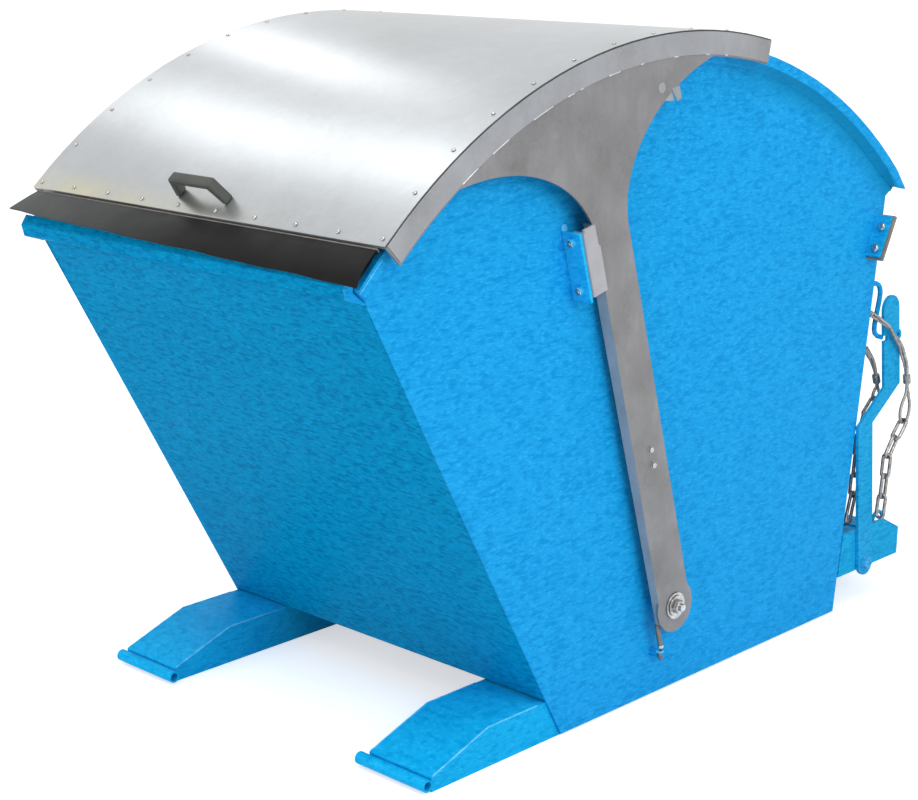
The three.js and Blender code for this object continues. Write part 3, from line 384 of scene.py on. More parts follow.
tone = blend(metal, ranged(metal, grey, 0.0, 1.0, 0.0, 0.22), tone, point["Light"])
metal.links.new(tone, out["Colour"])
uneven = total(metal, ranged(metal, smear, 0.25, 0.75, -0.07, 0.09),
               ranged(metal, grey, 0.0, 1.0, -0.02, 0.04))
metal.links.new(total(metal, point["Gloss"], uneven), out["Roughness"])
metal.links.new(total(metal, smear, ranged(metal, grey, 0.0, 1.0, 0.0, 0.15)), out["Height"])


def bare(name, colour, light, deep, cloud, grain, gloss, metallic):
    """Unpainted steel: clouded, faintly smeared and spangled."""
    material, shader, here = finish(name, gloss, metallic)
    give(material, shader, metal, here, 0.0003,
         Colour=srgb(*colour), Light=srgb(*light), Deep=srgb(*deep), Cloud=cloud, Grain=grain, Gloss=gloss)
    return material


pin_steel = bare("pin_steel", (138, 138, 142), (170, 170, 172), (104, 103, 104), 0.02, 0.002, 0.42, 0.7)
for side, sign in sides:
    dressed(side + "_frame_beam", "base", frame_blue, 0.004)
    dressed(side + "_frame_cheek", "base", frame_blue, 0.0015)
    dressed(side + "_tilt_lug", "base", frame_blue)
    dressed(side + "_tilt_pin", "base", pin_steel)
dressed("rear_crossmember", "base", frame_blue, 0.004)
for side, sign in sides:
    cheek, lug, beam_end = sign * 0.5265, sign * 0.4805, sign * 0.525
    weld(side + "_cheek_weld", [(cheek, 0.8925, 0.0935), (cheek, 0.8925, 0.1605), (cheek, 0.966, 0.1625)],
         0.003, "base", frame_blue)
    weld(side + "_beam_weld", [(sign * 0.43, 0.893, 0.163), (beam_end, 0.893, 0.163)],
         0.003, "base", frame_blue)
    weld(side + "_lug_weld", [(sign * 0.474, -0.3215, 0.117), (lug, -0.3215, 0.117), (lug, -0.3215, 0.153)],
         0.0022, "base", frame_blue)

# Release lever. A cranked flat bar, sawn and painted, swings on a bolt on the right
# cheek; the notch near its top holds the bin's staple until the driver pulls the rope.

lever_blue = sprayed("lever_blue", (18, 162, 218), (46, 180, 236), (4, 136, 196), 0.7)
chipped_blue = sprayed("chipped_blue", (30, 168, 228), (120, 206, 244), (6, 140, 204), 0.85)
dressed("release_lever", "lever", lever_blue, 0.0016)
dressed("tow_ring", "base", lever_blue, 0)
weld("ring_weld", [(0.512, 0.8945, 0.163), (0.512, 0.922, 0.163)], 0.0045, "base", frame_blue)


def joined(name, parts):
    """Loose parts made one piece, the first of them, under a name."""
    bpy.ops.object.select_all(action="DESELECT")
    for part in parts:
        part.select_set(True)
    bpy.context.view_layer.objects.active = parts[0]
    bpy.ops.object.join()
    parts[0].name = name
    return parts[0]


def hex_bolt(name, middle, out, size, height, body, material, washer=0.0, stub=0.0):
    """A hexagon head or nut with chamfered corners, on a washer, with the thread's end showing."""
    out = Vector(out).normalized()
    middle = Vector(middle)
    parts = []
    if washer:
        plate = drum(name + "_washer", middle + out * washer / 2, out, size * 1.12, washer, material, 28)
        eased(plate, washer * 0.3)
        parts.append(plate)
    head = drum(name, middle + out * (washer + height / 2), out, size, height, material, 6)
    choose(head, lambda at, face: face.dot(out) > 0.9)
    bpy.ops.mesh.inset(thickness=size * 0.12)
    bpy.ops.transform.translate(value=tuple(out * height * 0.12))
    bpy.ops.object.mode_set(mode="OBJECT")
    eased(head, size * 0.05, 20)
    if stub:
        at_end = middle + out * (washer + height + stub / 2)
        thread = drum(name + "_thread", at_end, out, size * 0.55, stub, material, 20)
        eased(thread, stub * 0.3)
        parts.append(thread)
    joined(name, [head] + parts)
    smooth(head, 30)
    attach(head, body)
    return head


bolt_y, bolt_z = 0.80722, 0.105
lever_bolt = hex_bolt("lever_bolt_head", (0.5466, bolt_y, bolt_z), (1, 0, 0), 0.0165, 0.0075, "base",
                      chipped_blue, 0.0024)
shank = drum("lever_bolt_shank", (0.5419, bolt_y, bolt_z), (1, 0, 0), 0.0098, 0.0092, chipped_blue, 24)
joined("lever_bolt_head", [lever_bolt, shank])
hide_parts("lever_bolt")

# Bin body. Side plates, leaning front and rear panels and a floor, cut from sheet and
# welded into a box that is open at the top front, and sprayed the same blue.

side_blue = sprayed("side_blue", (12, 157, 226), (46, 175, 238), (2, 136, 206), 0.75, 0.04)
# The darker copy of the paint below is painted shade, for the front and rear panels that lean away from the
# lamps; the rim, corner welds and lugs take it too.
shaded_front_blue = sprayed("shaded_front_blue", (0, 134, 186), (10, 154, 208), (0, 108, 158), 0.8, 0.008)
inner_blue = sprayed("inner_blue", (16, 130, 186), (36, 150, 206), (6, 104, 156), 0.5)
pivot_y, pivot_z = -0.02178, 0.225
strip_reach = 1.242
strip_end_low, strip_end_high = (0.9135, 1.0680), (0.8660, 1.0800)


def splayed(at):
    """The strip's lower edge leans in to the side plate, and its rear end is cut nearly level."""
    reach = hypot(at.y - pivot_y, at.z - pivot_z)
    if at.y > 0.84 and at.z < 1.12:
        return Vector((at.x, *(strip_end_low if reach > 1.25 else strip_end_high)))
    if abs(at.x) > 0.5515 and reach < 1.23:
        grown = strip_reach / reach
        return Vector((at.x, pivot_y + (at.y - pivot_y) * grown, pivot_z + (at.z - pivot_z) * grown))
    return at


def stained(material, share, colour):
    """The material's own colour mixed with another by a share."""
    tree = material.node_tree
    base = tree.nodes["Principled BSDF"].inputs["Base Color"]
    tree.links.new(blend(tree, share, base.links[0].from_socket, srgb(*colour)), base)


# Painted shadow: the side plate's paint is darkened in a band just under the arc strip, more towards the
# rear, for the shadow that the strip casts.
tree = side_blue.node_tree
spot = tree.nodes["Texture Coordinate"].outputs["Object"]
reach = step(tree, "VectorMath", spot, (0, pivot_y, pivot_z), operation="SUBTRACT").outputs[0]
reach = step(tree, "VectorMath", reach, (0, 1, 1), operation="MULTIPLY").outputs[0]
reach = step(tree, "VectorMath", reach, operation="LENGTH").outputs["Value"]
strip_shadow = product(tree, ranged(tree, reach, 1.165, 1.232), ranged(tree, reach, 1.2402, 1.2412, 1.0, 0.0))
rearward = ranged(tree, step(tree, "SeparateXYZ", spot).outputs[1], 0.12, 0.36, 0.0, 0.75)
stained(side_blue, product(tree, strip_shadow, rearward), (0, 124, 168))
for side, sign in sides:
    dressed(side + "_side_plate", "bin", side_blue, 0.0012)
    dressed(side + "_arc_rim", "bin", side_blue, 0.0015, 40, splayed)
dressed("front_panel", "bin", shaded_front_blue, 0.0006)
dressed("floor_panel", "bin", inner_blue)
dressed("rear_panel", "bin", shaded_front_blue)
dressed("rear_hood", "bin", side_blue, 0.0012, 40)
dressed("front_rim", "bin", shaded_front_blue, 0.0007)


def turned(name, middle, axis, radius, length, body, material, facets, edge, segments=2):
    """A short turned pin or a round mark, with its edges eased."""
    piece = drum(name, middle, axis, radius, length, material, facets)
    eased(piece, edge, segments=segments)
    smooth(piece)
    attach(piece, body)


for side, sign in sides:
    corner = sign * 0.5293
    weld(side + "_front_corner_weld", [(corner, -0.4034, 0.099), (corner, -0.9078, 1.0585)],
         0.0016, "bin", shaded_front_blue)
for side, sign in sides:
    face = sign * 0.5512
    # A thin bead in the highlight blue along each strip's front end is a painted highlight for the bright
    # edge line there.
    weld(side + "_strip_end_highlight_bead", [(face, -0.8790, 1.1460), (face, -0.9385, 1.0880)],
         0.0014, "bin", highlight_blue)
    turned(side + "_side_boss", (sign * 0.5368, -0.3512, 1.1345), (1, 0, 0), 0.0085, 0.006, "bin", highlight_blue,
           20, 0.0025, 3)

# Rim ends. The folded rim is closed at both ends with a small plate, welded on and
# ground roughly flush, that carries the side's face on to the rim's nose.

end_outline = [(-0.9092, 1.0612), (-0.9600, 1.0788), (-0.9658, 1.1044), (-0.9522, 1.1240), (-0.9400, 1.1180),
               (-0.9402, 1.0900)]
end_run = [(-0.9105, 1.0618), (-0.9594, 1.0788), (-0.9650, 1.1044)]


def begun(name, add, **settings):
    """A primitive at the origin, as the start of a piece."""
    bpy.ops.object.select_all(action="DESELECT")
    add(location=(0, 0, 0), **settings)
    piece = bpy.context.active_object
    piece.name = name
    return piece


def faced_out(piece, push=None):
    """Every face turned outwards, after a flat outline is pushed to its thickness."""
    only(piece)
    bpy.ops.object.mode_set(mode="EDIT")
    bpy.ops.mesh.select_all(action="SELECT")
    if push:
        bpy.ops.mesh.extrude_region_move(TRANSFORM_OT_translate={"value": push})
        bpy.ops.mesh.select_all(action="SELECT")
    bpy.ops.mesh.normals_make_consistent(inside=False)
    bpy.ops.object.mode_set(mode="OBJECT")


def cut_plate(name, corners, push, body, material, edge):
    """A small plate cut to its corners, with its thickness pushed across the bin."""
    plate = begun(name, bpy.ops.mesh.primitive_circle_add, vertices=len(corners), fill_type="NGON")
    for vertex, corner in zip(plate.data.vertices, corners):
        vertex.co = corner
    faced_out(plate, (push, 0, 0))
    plate.data.materials.append(material)
    eased(plate, edge)
    smooth(plate)
    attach(plate, body)


for side, sign in sides:
    cut_plate(side + "_rim_end", [(sign * 0.5352, y, z) for y, z in end_outline], -sign * 0.003, "bin",
              side_blue, 0.001)
    weld(side + "_rim_end_weld", [(sign * 0.5345, y, z) for y, z in end_run], 0.0018, "bin", side_blue)

# Lid pivots. Turned steel stubs are welded to the side plates and carry the lid's arms.
# Each arm is held by a zinc-plated nut on two pressed washers, one stepped on the other.

bolt_zinc = bare("bolt_zinc", (172, 172, 170), (212, 212, 210), (118, 118, 118), 0.012, 0.0015, 0.2, 0.95)
washers = ((0.5832, 0.0315, 0.0028), (0.5862, 0.0245, 0.0030))
for side, sign in sides:
    dressed(side + "_pivot_stub", "bin", side_blue)
    for number, (stand, radius, thick) in enumerate(washers, 1):
        ring = drum(side + "_pivot_washer_%d" % number, (sign * stand, pivot_y, pivot_z), (1, 0, 0),
                    radius, thick, bolt_zinc, 48)
        choose(ring, lambda at, out: out.x * sign > 0.9)
        bpy.ops.mesh.inset(thickness=0.0035)
        bpy.ops.transform.translate(value=(-sign * 0.0008, 0, 0))
        bpy.ops.object.mode_set(mode="OBJECT")
        eased(ring, 0.0008, 25)
        smooth(ring, 30)
        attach(ring, "bin")
    nut = hex_bolt(side + "_pivot_nut_cut", (sign * 0.5877, pivot_y, pivot_z), (sign, 0, 0),
                   0.0165, 0.0105, "bin", bolt_zinc, 0.0, 0.008)
    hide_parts(side + "_pivot_nut")

# Stops. Flat plates are welded to the sides, each with a rubber buffer on two zinc
# bolts, to catch the lid's arms at both ends of their travel.

# The stops' paint is a lighter copy of the blue: painted light on front stop plates whose faces turn away
# from the lamps.
lit_stop_blue = sprayed("lit_stop_blue", (28, 184, 244), (60, 200, 252), (10, 166, 232), 0.7, 0.04)
rubber, point, out = new_effect("cut_rubber", ("Colour", "Light"), ("Gloss",))
bloom = noise(rubber, point["Point"], 0.07, 5, 0.65)
tone = blend(rubber, ranged(rubber, bloom, 0.4, 0.72), point["Colour"], point["Light"])
rubber.links.new(tone, out["Colour"])
uneven = ranged(rubber, bloom, 0.3, 0.7, -0.08, 0.12)
rubber.links.new(total(rubber, point["Gloss"], uneven), out["Roughness"])
rubber.links.new(noise(rubber, point["Point"], 0.0015, 2, 0.5), out["Height"])


def moulded(name, colour, light, gloss, bump=0.0002):
    """Rubber or plastic with a faint bloom."""
    material, shader, here = finish(name, gloss)
    give(material, shader, rubber, here, bump, Colour=srgb(*colour), Light=srgb(*light), Gloss=gloss)
    return material


buffer_grey = moulded("buffer_grey", (162, 162, 167), (178, 178, 182), 0.62)
pad_brown = moulded("pad_brown", (112, 100, 92), (150, 136, 122), 0.75)
arm_lean = radians(104.2)
leg_corners = {(-1, 1): (-0.3487, 1.1352), (1, 1): (-0.3148, 1.1430),
               (-1, -1): (-0.3110, 0.9905), (1, -1): (-0.2738, 1.0005)}
leg_outer, leg_inner = 0.5905, 0.5822
stop_lean = radians(27.8)
stop_foot = Vector((0, 0.7682, 0.919))
stop_out = Vector((0, -cos(stop_lean), sin(stop_lean)))


def on_arm(x, back, up):
    """A point by its place along and behind the closed lid arm's middle line."""
    return (x, pivot_y + up * cos(arm_lean) + back * sin(arm_lean),
            pivot_z + up * sin(arm_lean) - back * cos(arm_lean))


for side, sign in sides:
    dressed(side + "_front_stop", "bin", lit_stop_blue)
    dressed(side + "_rear_stop", "bin", frame_blue)
    dressed(side + "_front_buffer", "bin", buffer_grey, 0.002)
    dressed(side + "_rear_buffer", "bin", pad_brown, 0.002)
    leg = begun(side + "_buffer_leg", bpy.ops.mesh.primitive_cube_add, size=1)
    for vertex in leg.data.vertices:
        y, z = leg_corners[(1 if vertex.co.y > 0 else -1, 1 if vertex.co.z > 0 else -1)]
        vertex.co = (sign * (leg_outer if vertex.co.x > 0 else leg_inner), y, z)
    faced_out(leg)
    leg.data.materials.append(buffer_grey)
    eased(leg, 0.0016)
    smooth(leg)
    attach(leg, "bin")
    dressed(side + "_bin_lug", "bin", shaded_front_blue)
    ahead_of_arm = Vector(on_arm(0, -1, 0)) - Vector(on_arm(0, 0, 0))
    for number, up in ((1, 0.829), (2, 0.936)):
        hex_bolt(side + "_front_stop_nut_%d" % number, on_arm(sign * 0.561, -0.1052, up), ahead_of_arm,
                 0.0092, 0.0075, "bin", bolt_zinc, 0.0014, 0.0035)
    for number, far in ((1, 0.020), (2, 0.076)):
        up_stop = Vector((sign * 0.559, far * sin(stop_lean), far * cos(stop_lean)))
        spot = stop_foot + up_stop + stop_out * 0.0061
        head = drum(side + "_rear_stop_bolt_%d" % number, spot, stop_out, 0.0104, 0.0036, bolt_zinc, 28)
        choose(head, lambda at, out: out.dot(stop_out) > 0.9)
        bpy.ops.mesh.inset(thickness=0.0035)
        bpy.ops.transform.translate(value=tuple(stop_out * 0.0022))
        bpy.ops.object.mode_set(mode="OBJECT")
        eased(head, 0.001, 25)
        smooth(head)
        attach(head, "bin")
    low_end = stop_foot - stop_out * 0.001
    high_end = stop_foot + Vector((0, 0.107 * sin(stop_lean), 0.107 * cos(stop_lean))) - stop_out * 0.001
    weld(side + "_rear_stop_weld", [(sign * 0.536, end.y, end.z) for end in (low_end, high_end)],
         0.0034, "bin", side_blue)

# Staple and rope lug. The staple is a bent round bar welded behind the rear panel; its
# end stands in the lever's notch. The lug below it holds the ropes' end fittings.

dressed("catch_staple", "bin", side_blue, 0)
dressed("rope_anchor", "bin", pin_steel, 0.001)

# Lid arms. Each band and its anchor-shaped arm are cut in one piece from galvanised
# plate, folded inwards along the front edge, and hang on the pivots. A thin strip is
# stitch-welded along each band, and two bolts and a bent tab sit on each arm. The
# stitches' bright metal is partly a painted glint along the seam.

arm_grey = bare("arm_grey", (124, 124, 125), (142, 142, 145), (104, 104, 104), 0.12, 0.006, 0.46, 0.4)
band_grey = bare("band_grey", (148, 150, 154), (164, 167, 172), (132, 133, 136), 0.16, 0.006, 0.42, 0.45)
# The fold's grey is tinted towards blue and lightened, a painted reflection of the blue side plate in the
# bare metal; the tab's root takes it too.
flange_reflection_grey = bare("flange_reflection_grey", (153, 160, 164), (170, 176, 182), (136, 142, 146), 0.1, 0.006, 0.5, 0.15)
# The stitches' bright metal is partly a painted glint, set where the seam glints.
stitch_glint_bright = bare("stitch_glint_bright", (200, 202, 206), (226, 228, 230), (168, 170, 174), 0.02, 0.002,
                     0.3, 0.8)
plate_inner_face = 0.5745
fold_top, fold_length, fold_taper = 0.8, 0.87, 0.011
foot_radius = 0.062
band_reach = 1.238
flare_ends = [(0.052, band_reach * 0.739), (0.052, band_reach * 0.84),
              (band_reach * 0.1535, band_reach * 0.937),
              (band_reach * sin(radians(19.1)), band_reach * cos(radians(19.1)))]
cut_line = []
for index in range(401):
    t = index / 400
    shares = ((1 - t) ** 3, 3 * t * (1 - t) ** 2, 3 * t * t * (1 - t), t ** 3)
    out = sum(share * end[0] for share, end in zip(shares, flare_ends))
    up = sum(share * end[1] for share, end in zip(shares, flare_ends))
    turn = radians(213 + 114 * t)
    cut_line += [(out, up), (-out, up), (foot_radius * cos(turn), foot_radius * sin(turn))]


def arm_place(at):
    """How far a point is behind and along the arm's middle line."""
    y, z = at.y - pivot_y, at.z - pivot_z
    return y * sin(arm_lean) - z * cos(arm_lean), z * sin(arm_lean) + y * cos(arm_lean)


def off_cut(at):
    """The nearest place on the curves that the arm was cut to, and how far off it a point is."""
    back, up = arm_place(at)
    near = min(cut_line, key=lambda spot: (spot[0] - back) ** 2 + (spot[1] - up) ** 2)
    return near, hypot(near[0] - back, near[1] - up)


def on_cut(first, last):
    """An edge that follows one of those curves."""
    if abs(first.x - last.x) > 0.001 or abs(first.x) < plate_inner_face:
        return False
    return (first - last).length > 0.005 and off_cut(first)[1] < 0.0004 and off_cut(last)[1] < 0.0004


def narrowed(at):
    """The flares and foot are round, and the front edge's fold gets narrower towards the foot."""
    if abs(at.x) > plate_inner_face:
        near, far = off_cut(at)
        if far < 0.004:
            return Vector(on_arm(at.x, near[0], near[1]))
    up = arm_place(at)[1]
    if abs(at.x) < 0.56 and up < fold_top:
        taper = fold_taper if at.x > 0 else -fold_taper
        return Vector((at.x + taper * (fold_top - up) / fold_length, at.y, at.z))
    return at


def round_pivot(x, reach, turn):
    """A point by its reach from the lid's pivots and its turn round them."""
    return Vector((x, pivot_y + reach * cos(turn), pivot_z + reach * sin(turn)))


strip_inner, strip_outer = 1.2412, 1.2904
strip_front, strip_rear = 132.5, 76.0
strip_face, strip_thick = 0.5811, 0.0016
stitch_runs = ((122.7, 2.3), (118.2, 2.4), (112.2, 2.8), (107.2, 0.9), (105.4, 0.5),
               (101.2, 1.6), (96.5, 0.5), (91.4, 0.6), (86.4, 0.5), (83.3, 0.4))
tab_root = ((0.5795, -0.0821, 1.3760), (0.5795, -0.0470, 1.3735), (0.5795, -0.0574, 1.3995))
tab_turned = ((0.5872, -0.0470, 1.3735), (0.5872, -0.0317, 1.3779), (0.5812, -0.0323, 1.4050),
              (0.5812, -0.0574, 1.4000))
tab_thick = 0.003
for side, sign in sides:
    arm = dressed(side + "_lid_arm", "lid", arm_grey, 0.0010, 40, narrowed, on_cut)
    arm.data.materials.append(flange_reflection_grey)
    for face in arm.data.polygons:
        if abs(face.center.x) < plate_inner_face:
            face.material_index = 1
    dressed(side + "_edge_flange", "lid", arm_grey, 0.001, 40)
    for number, up in ((1, 0.402), (2, 0.363)):
        hex_bolt(side + "_arm_bolt_%d" % number, on_arm(sign * 0.581, 0.004, up), (sign, 0, 0),
                 0.0072, 0.0045, "lid", bolt_zinc, 0.0012)
    strip = begun(side + "_band_strip", bpy.ops.mesh.primitive_grid_add, x_subdivisions=70, y_subdivisions=2,
                  size=1)
    for vertex in strip.data.vertices:
        turn = radians(strip_front + (strip_rear - strip_front) * (vertex.co.x + 0.5))
        reach = strip_inner + (strip_outer - strip_inner) * (vertex.co.y + 0.5)
        vertex.co = round_pivot(sign * strip_face, reach, turn)
    faced_out(strip, (sign * strip_thick, 0, 0))
    strip.data.materials.append(band_grey)
    eased(strip, 0.0006)
    smooth(strip, 30)
    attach(strip, "lid")
    for number, (turn, long) in enumerate(stitch_runs):
        run = [round_pivot(sign * 0.5818, 1.2414, radians(turn - long * index / 4)) for index in range(5)]
        weld(side + "_stitch_%d" % number, run, 0.0017, "lid", stitch_glint_bright)
    turned(side + "_plug_weld", (sign * 0.5812, -0.0914, 1.404), (1, 0, 0), 0.0115, 0.0014, "lid", band_grey,
           28, 0.0006)
    cut_plate(side + "_tab_root", [(sign * x, y, z) for x, y, z in tab_root], -sign * tab_thick, "lid",
              flange_reflection_grey, 0.0006)
    cut_plate(side + "_tab_turned", [(sign * x, y, z) for x, y, z in tab_turned], -sign * tab_thick, "lid",
              band_grey, 0.0006)

# Assist rods. A round rod hangs from the foot of each arm's fold, held by a collar. Its
# thin tip stands beside a peg on the bin's side that has a welded eye.

rod_grey = bare("rod_grey", (112, 108, 106), (140, 134, 130), (84, 80, 78), 0.02, 0.002, 0.45, 0.5)
peg_y, peg_z = -0.0513, 0.1165
eye_reach = 0.0075
rod_x = 0.562
down = (Vector(on_arm(0, 0, -1)) - Vector(on_arm(0, 0, 0))).normalized()
for side, sign in sides:
    dressed(side + "_assist_rod", "lid", rod_grey, 0)
    top = Vector(on_arm(sign * rod_x, -0.0495, -0.0865))
    turned(side + "_rod_collar", top, down, 0.0072, 0.008, "lid", bolt_zinc, 24, 0.0014)
    turned(side + "_peg_pin", (sign * rod_x, -0.0495, 0.1050), down, 0.0052, 0.019, "bin", rod_grey,
           20, 0.0012)
    ring = []
    for index in range(25):
        turn = 2 * pi * index / 24
        way = Vector((sign * eye_reach * cos(turn), eye_reach * sin(turn), 0))
        ring.append(Vector((sign * rod_x, peg_y, peg_z)) + way)
    hoop = along(side + "_peg_eye", ring, lambda share: round_section(0.0022), highlight_blue, closed=True)
    only(hoop)
    bpy.ops.object.shade_smooth()
    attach(hoop, "bin")
    turned(side + "_rod_peg", (sign * 0.5454, peg_y, peg_z), (1, 0, 0), 0.0038, 0.021, "bin", side_blue,
           20, 0.001)

# Lid sheet. One sheet of galvanised steel, rolled to the lid's curve, lies on the bands
# and is riveted down along its front and side edges.

lid_zinc = bare("lid_zinc", (178, 182, 183), (194, 198, 203), (166, 170, 171), 0.55, 0.014, 0.3, 0.88)
tree = lid_zinc.node_tree
here = tree.nodes["Texture Coordinate"].outputs["Object"]
parts = step(tree, "SeparateXYZ", here).outputs
near_edge = product(tree, ranged(tree, parts[2], 1.222, 1.183), ranged(tree, parts[0], 0.3, -0.4))
streaky = ranged(tree, noise(tree, here, 0.09, 4, 0.6), 0.3, 0.6, 0.25, 0.8)
stained(lid_zinc, product(tree, near_edge, streaky), (204, 199, 170))
for socket in ("Roughness", "Normal"):
    tree.links.remove(tree.nodes["Principled BSDF"].inputs[socket].links[0])
sheet = dressed("lid_sheet", "lid", lid_zinc, 0.0006, 40)
# The sheet's side edge faces are coloured dark grey, for the dark line along its joint with the bands.
sheet.data.materials.append(moulded("dark_sheet_edge", (56, 58, 62), (88, 90, 94), 0.6, 0.0001))
for face in sheet.data.polygons:
    if abs(face.normal.x) > 0.9 and abs(face.center.x) > 0.579:
        face.material_index = 1
dressed("front_edge_angle", "lid", arm_grey, 0.001, 40)
clamp = begun("apron_clamp_strip", bpy.ops.mesh.primitive_cube_add, size=1)
for vertex in clamp.data.vertices:
    vertex.co = (vertex.co.x * 1.124, -0.9002 + vertex.co.y * 0.0030, 1.1690 + vertex.co.z * 0.0036)
clamp.data.materials.append(rod_grey)
eased(clamp, 0.0007)
smooth(clamp)
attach(clamp, "lid")
front_row = [(-0.562 + 0.1249 * number, 131.95) for number in range(10)]
side_rows = [(sign * 0.5555, 126.7 - 5.6 * number) for sign in (-1, 1) for number in range(9)]
sheet_reach = 1.294
rivet_radius, rivet_sunk = 0.0051, 0.0009
domes = []
for x, angle in front_row + side_rows:
    out = Vector((0, cos(radians(angle)), sin(radians(angle))))
    dome = begun("rivet", bpy.ops.mesh.primitive_uv_sphere_add, segments=14, ring_count=8,
                 radius=rivet_radius)
    bpy.ops.object.mode_set(mode="EDIT")
    bpy.ops.mesh.select_all(action="SELECT")
    bpy.ops.mesh.bisect(plane_co=(0, 0, 0.0010), plane_no=(0, 0, 1), clear_inner=True, use_fill=True)
    bpy.ops.mesh.select_all(action="SELECT")
    bpy.ops.transform.resize(value=(1, 1, 0.62))
    bpy.ops.object.mode_set(mode="OBJECT")
    seat = Matrix.Translation(round_pivot(x, sheet_reach - rivet_sunk, radians(angle)))
    dome.data.transform(seat @ out.to_track_quat("Z", "Y").to_matrix().to_4x4())
    domes.append(dome)
rivets = joined("lid_rivets", domes)
rivets.data.materials.append(bolt_zinc)
bpy.ops.object.shade_smooth()
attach(rivets, "lid")

# Handle. A moulded plastic bow with flat splayed legs on wide feet, screwed to the lid
# from below.

handle_plastic = moulded("handle_plastic", (46, 49, 46), (66, 69, 64), 0.48)
dressed("lid_handle", "lid", handle_plastic, 0.0042, 60)

# Apron. A strip of black rubber sheet is clamped under the lid's front edge. It curls up
# at its left end and hangs down over the rim at its right.

apron_rubber = moulded("apron_rubber", (3, 3, 3), (18, 18, 17), 0.5, 0.0004)
tree = apron_rubber.node_tree
here = tree.nodes["Texture Coordinate"].outputs["Object"]
stained(apron_rubber, ranged(tree, step(tree, "SeparateXYZ", here).outputs[0], 0.05, -0.62), (74, 77, 77))
tree.nodes["Principled BSDF"].inputs["Specular IOR Level"].default_value = 0.12
left_run = [(-0.8990, 1.1680), (-0.9180, 1.1615), (-0.9370, 1.1540), (-0.9570, 1.1460), (-0.9775, 1.1375)]
right_run = [(-0.8990, 1.1680), (-0.9200, 1.1560), (-0.9420, 1.1400), (-0.9590, 1.1240), (-0.9705, 1.1085)]


def at_share(run, share):
    """A point by its share of the way along a short run of points, on a round curve."""
    rows = [Vector(run[0]) * 2 - Vector(run[1])] + [Vector(point) for point in run]
    rows.append(2 * rows[-1] - rows[-2])
    place = min(share * (len(run) - 1), len(run) - 1.0001)
    first = int(place)
    a, b, c, d = rows[first:first + 4]
    t = place - first
    return 0.5 * (2 * b + (c - a) * t + (2 * a - 5 * b + 4 * c - d) * t * t
                  + (3 * b - a - 3 * c + d) * t ** 3)


apron = begun("front_apron_rubber", bpy.ops.mesh.primitive_grid_add, x_subdivisions=64, y_subdivisions=14,
              size=1)
for vertex in apron.data.vertices:
    across, depth = vertex.co.x + 0.5, vertex.co.y + 0.5
    spot = at_share(left_run, depth).lerp(at_share(right_run, depth), across ** 0.9)
    wave = (0.0010 * sin(across * 23 + 1.0) + 0.0007 * sin(across * 47)) * depth
    vertex.co = (-0.560 + (1.120 + 0.017 * depth) * across, spot.x - 0.3 * wave, spot.y + wave)
apron.data.materials.append(apron_rubber)
add_modifier(apron, "SOLIDIFY", thickness=0.0036, offset=0)
eased(apron, 0.0009, 50)
smooth(apron, 50)
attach(apron, "lid")
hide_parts("front_apron")

# Ropes. Two short steel wire ropes, each of two strands pressed into fittings on the lug
# and into a ferrule with a soft eye, hang over and behind the lever.

pivot_ahead = 21.78


def between(at, low, high, first, last):
    """The place at a knot between two points whose own knots are first and last."""
    return low * ((last - at) / (last - first)) + high * ((at - first) / (last - first))


def smooth_line(points, gap=0.0016):
    """Even points along a round curve through the given ones."""
    rows = [2 * points[0] - points[1]] + points + [2 * points[-1] - points[-2]]
    line = []
    for before, start, end, after in zip(rows, rows[1:], rows[2:], rows[3:]):
        knots = [0.0]
        for low, high in ((before, start), (start, end), (end, after)):
            knots.append(knots[-1] + max((high - low).length, 1e-6) ** 0.5)
        count = max(2, round((end - start).length / gap))
        for index in range(count):
            at = knots[1] + (knots[2] - knots[1]) * index / count
            one = between(at, before, start, knots[0], knots[1])
            two = between(at, start, end, knots[1], knots[2])
            three = between(at, end, after, knots[2], knots[3])
            early = between(at, one, two, knots[0], knots[2])
            late = between(at, two, three, knots[1], knots[3])
            line.append(between(at, early, late, knots[1], knots[2]))
    line.append(rows[-2])
    return line


def in_frame(x, y, z):
    """A place measured in millimetres from under the lid's pivots, in the model's frame."""
    return Vector((x / 1000, (y - pivot_ahead) / 1000, z / 1000))


def route(leave, steps):
    """A rope's points, given in millimetres from where it leaves the lug."""
    return [in_frame(leave[0] + a, leave[1] + b, leave[2] + c) for a, b, c in steps]


def strand(radius, length):
    """The outline of a laid rope: six wires as lobes that turn along it."""
    lobes, lay = 6, 0.030

    def section(share):
        turn = 2 * pi * share * length / lay
        points = []
        for index in range(lobes * 4):
            angle = 2 * pi * index / (lobes * 4)
            reach = radius * (0.93 + 0.07 * cos(lobes * angle))
            points.append((reach * cos(angle + turn), reach * sin(angle + turn)))
        return points
    return section


def length_of(line):
    """How long a line of points is."""
    return sum((b - a).length for a, b in zip(line, line[1:]))


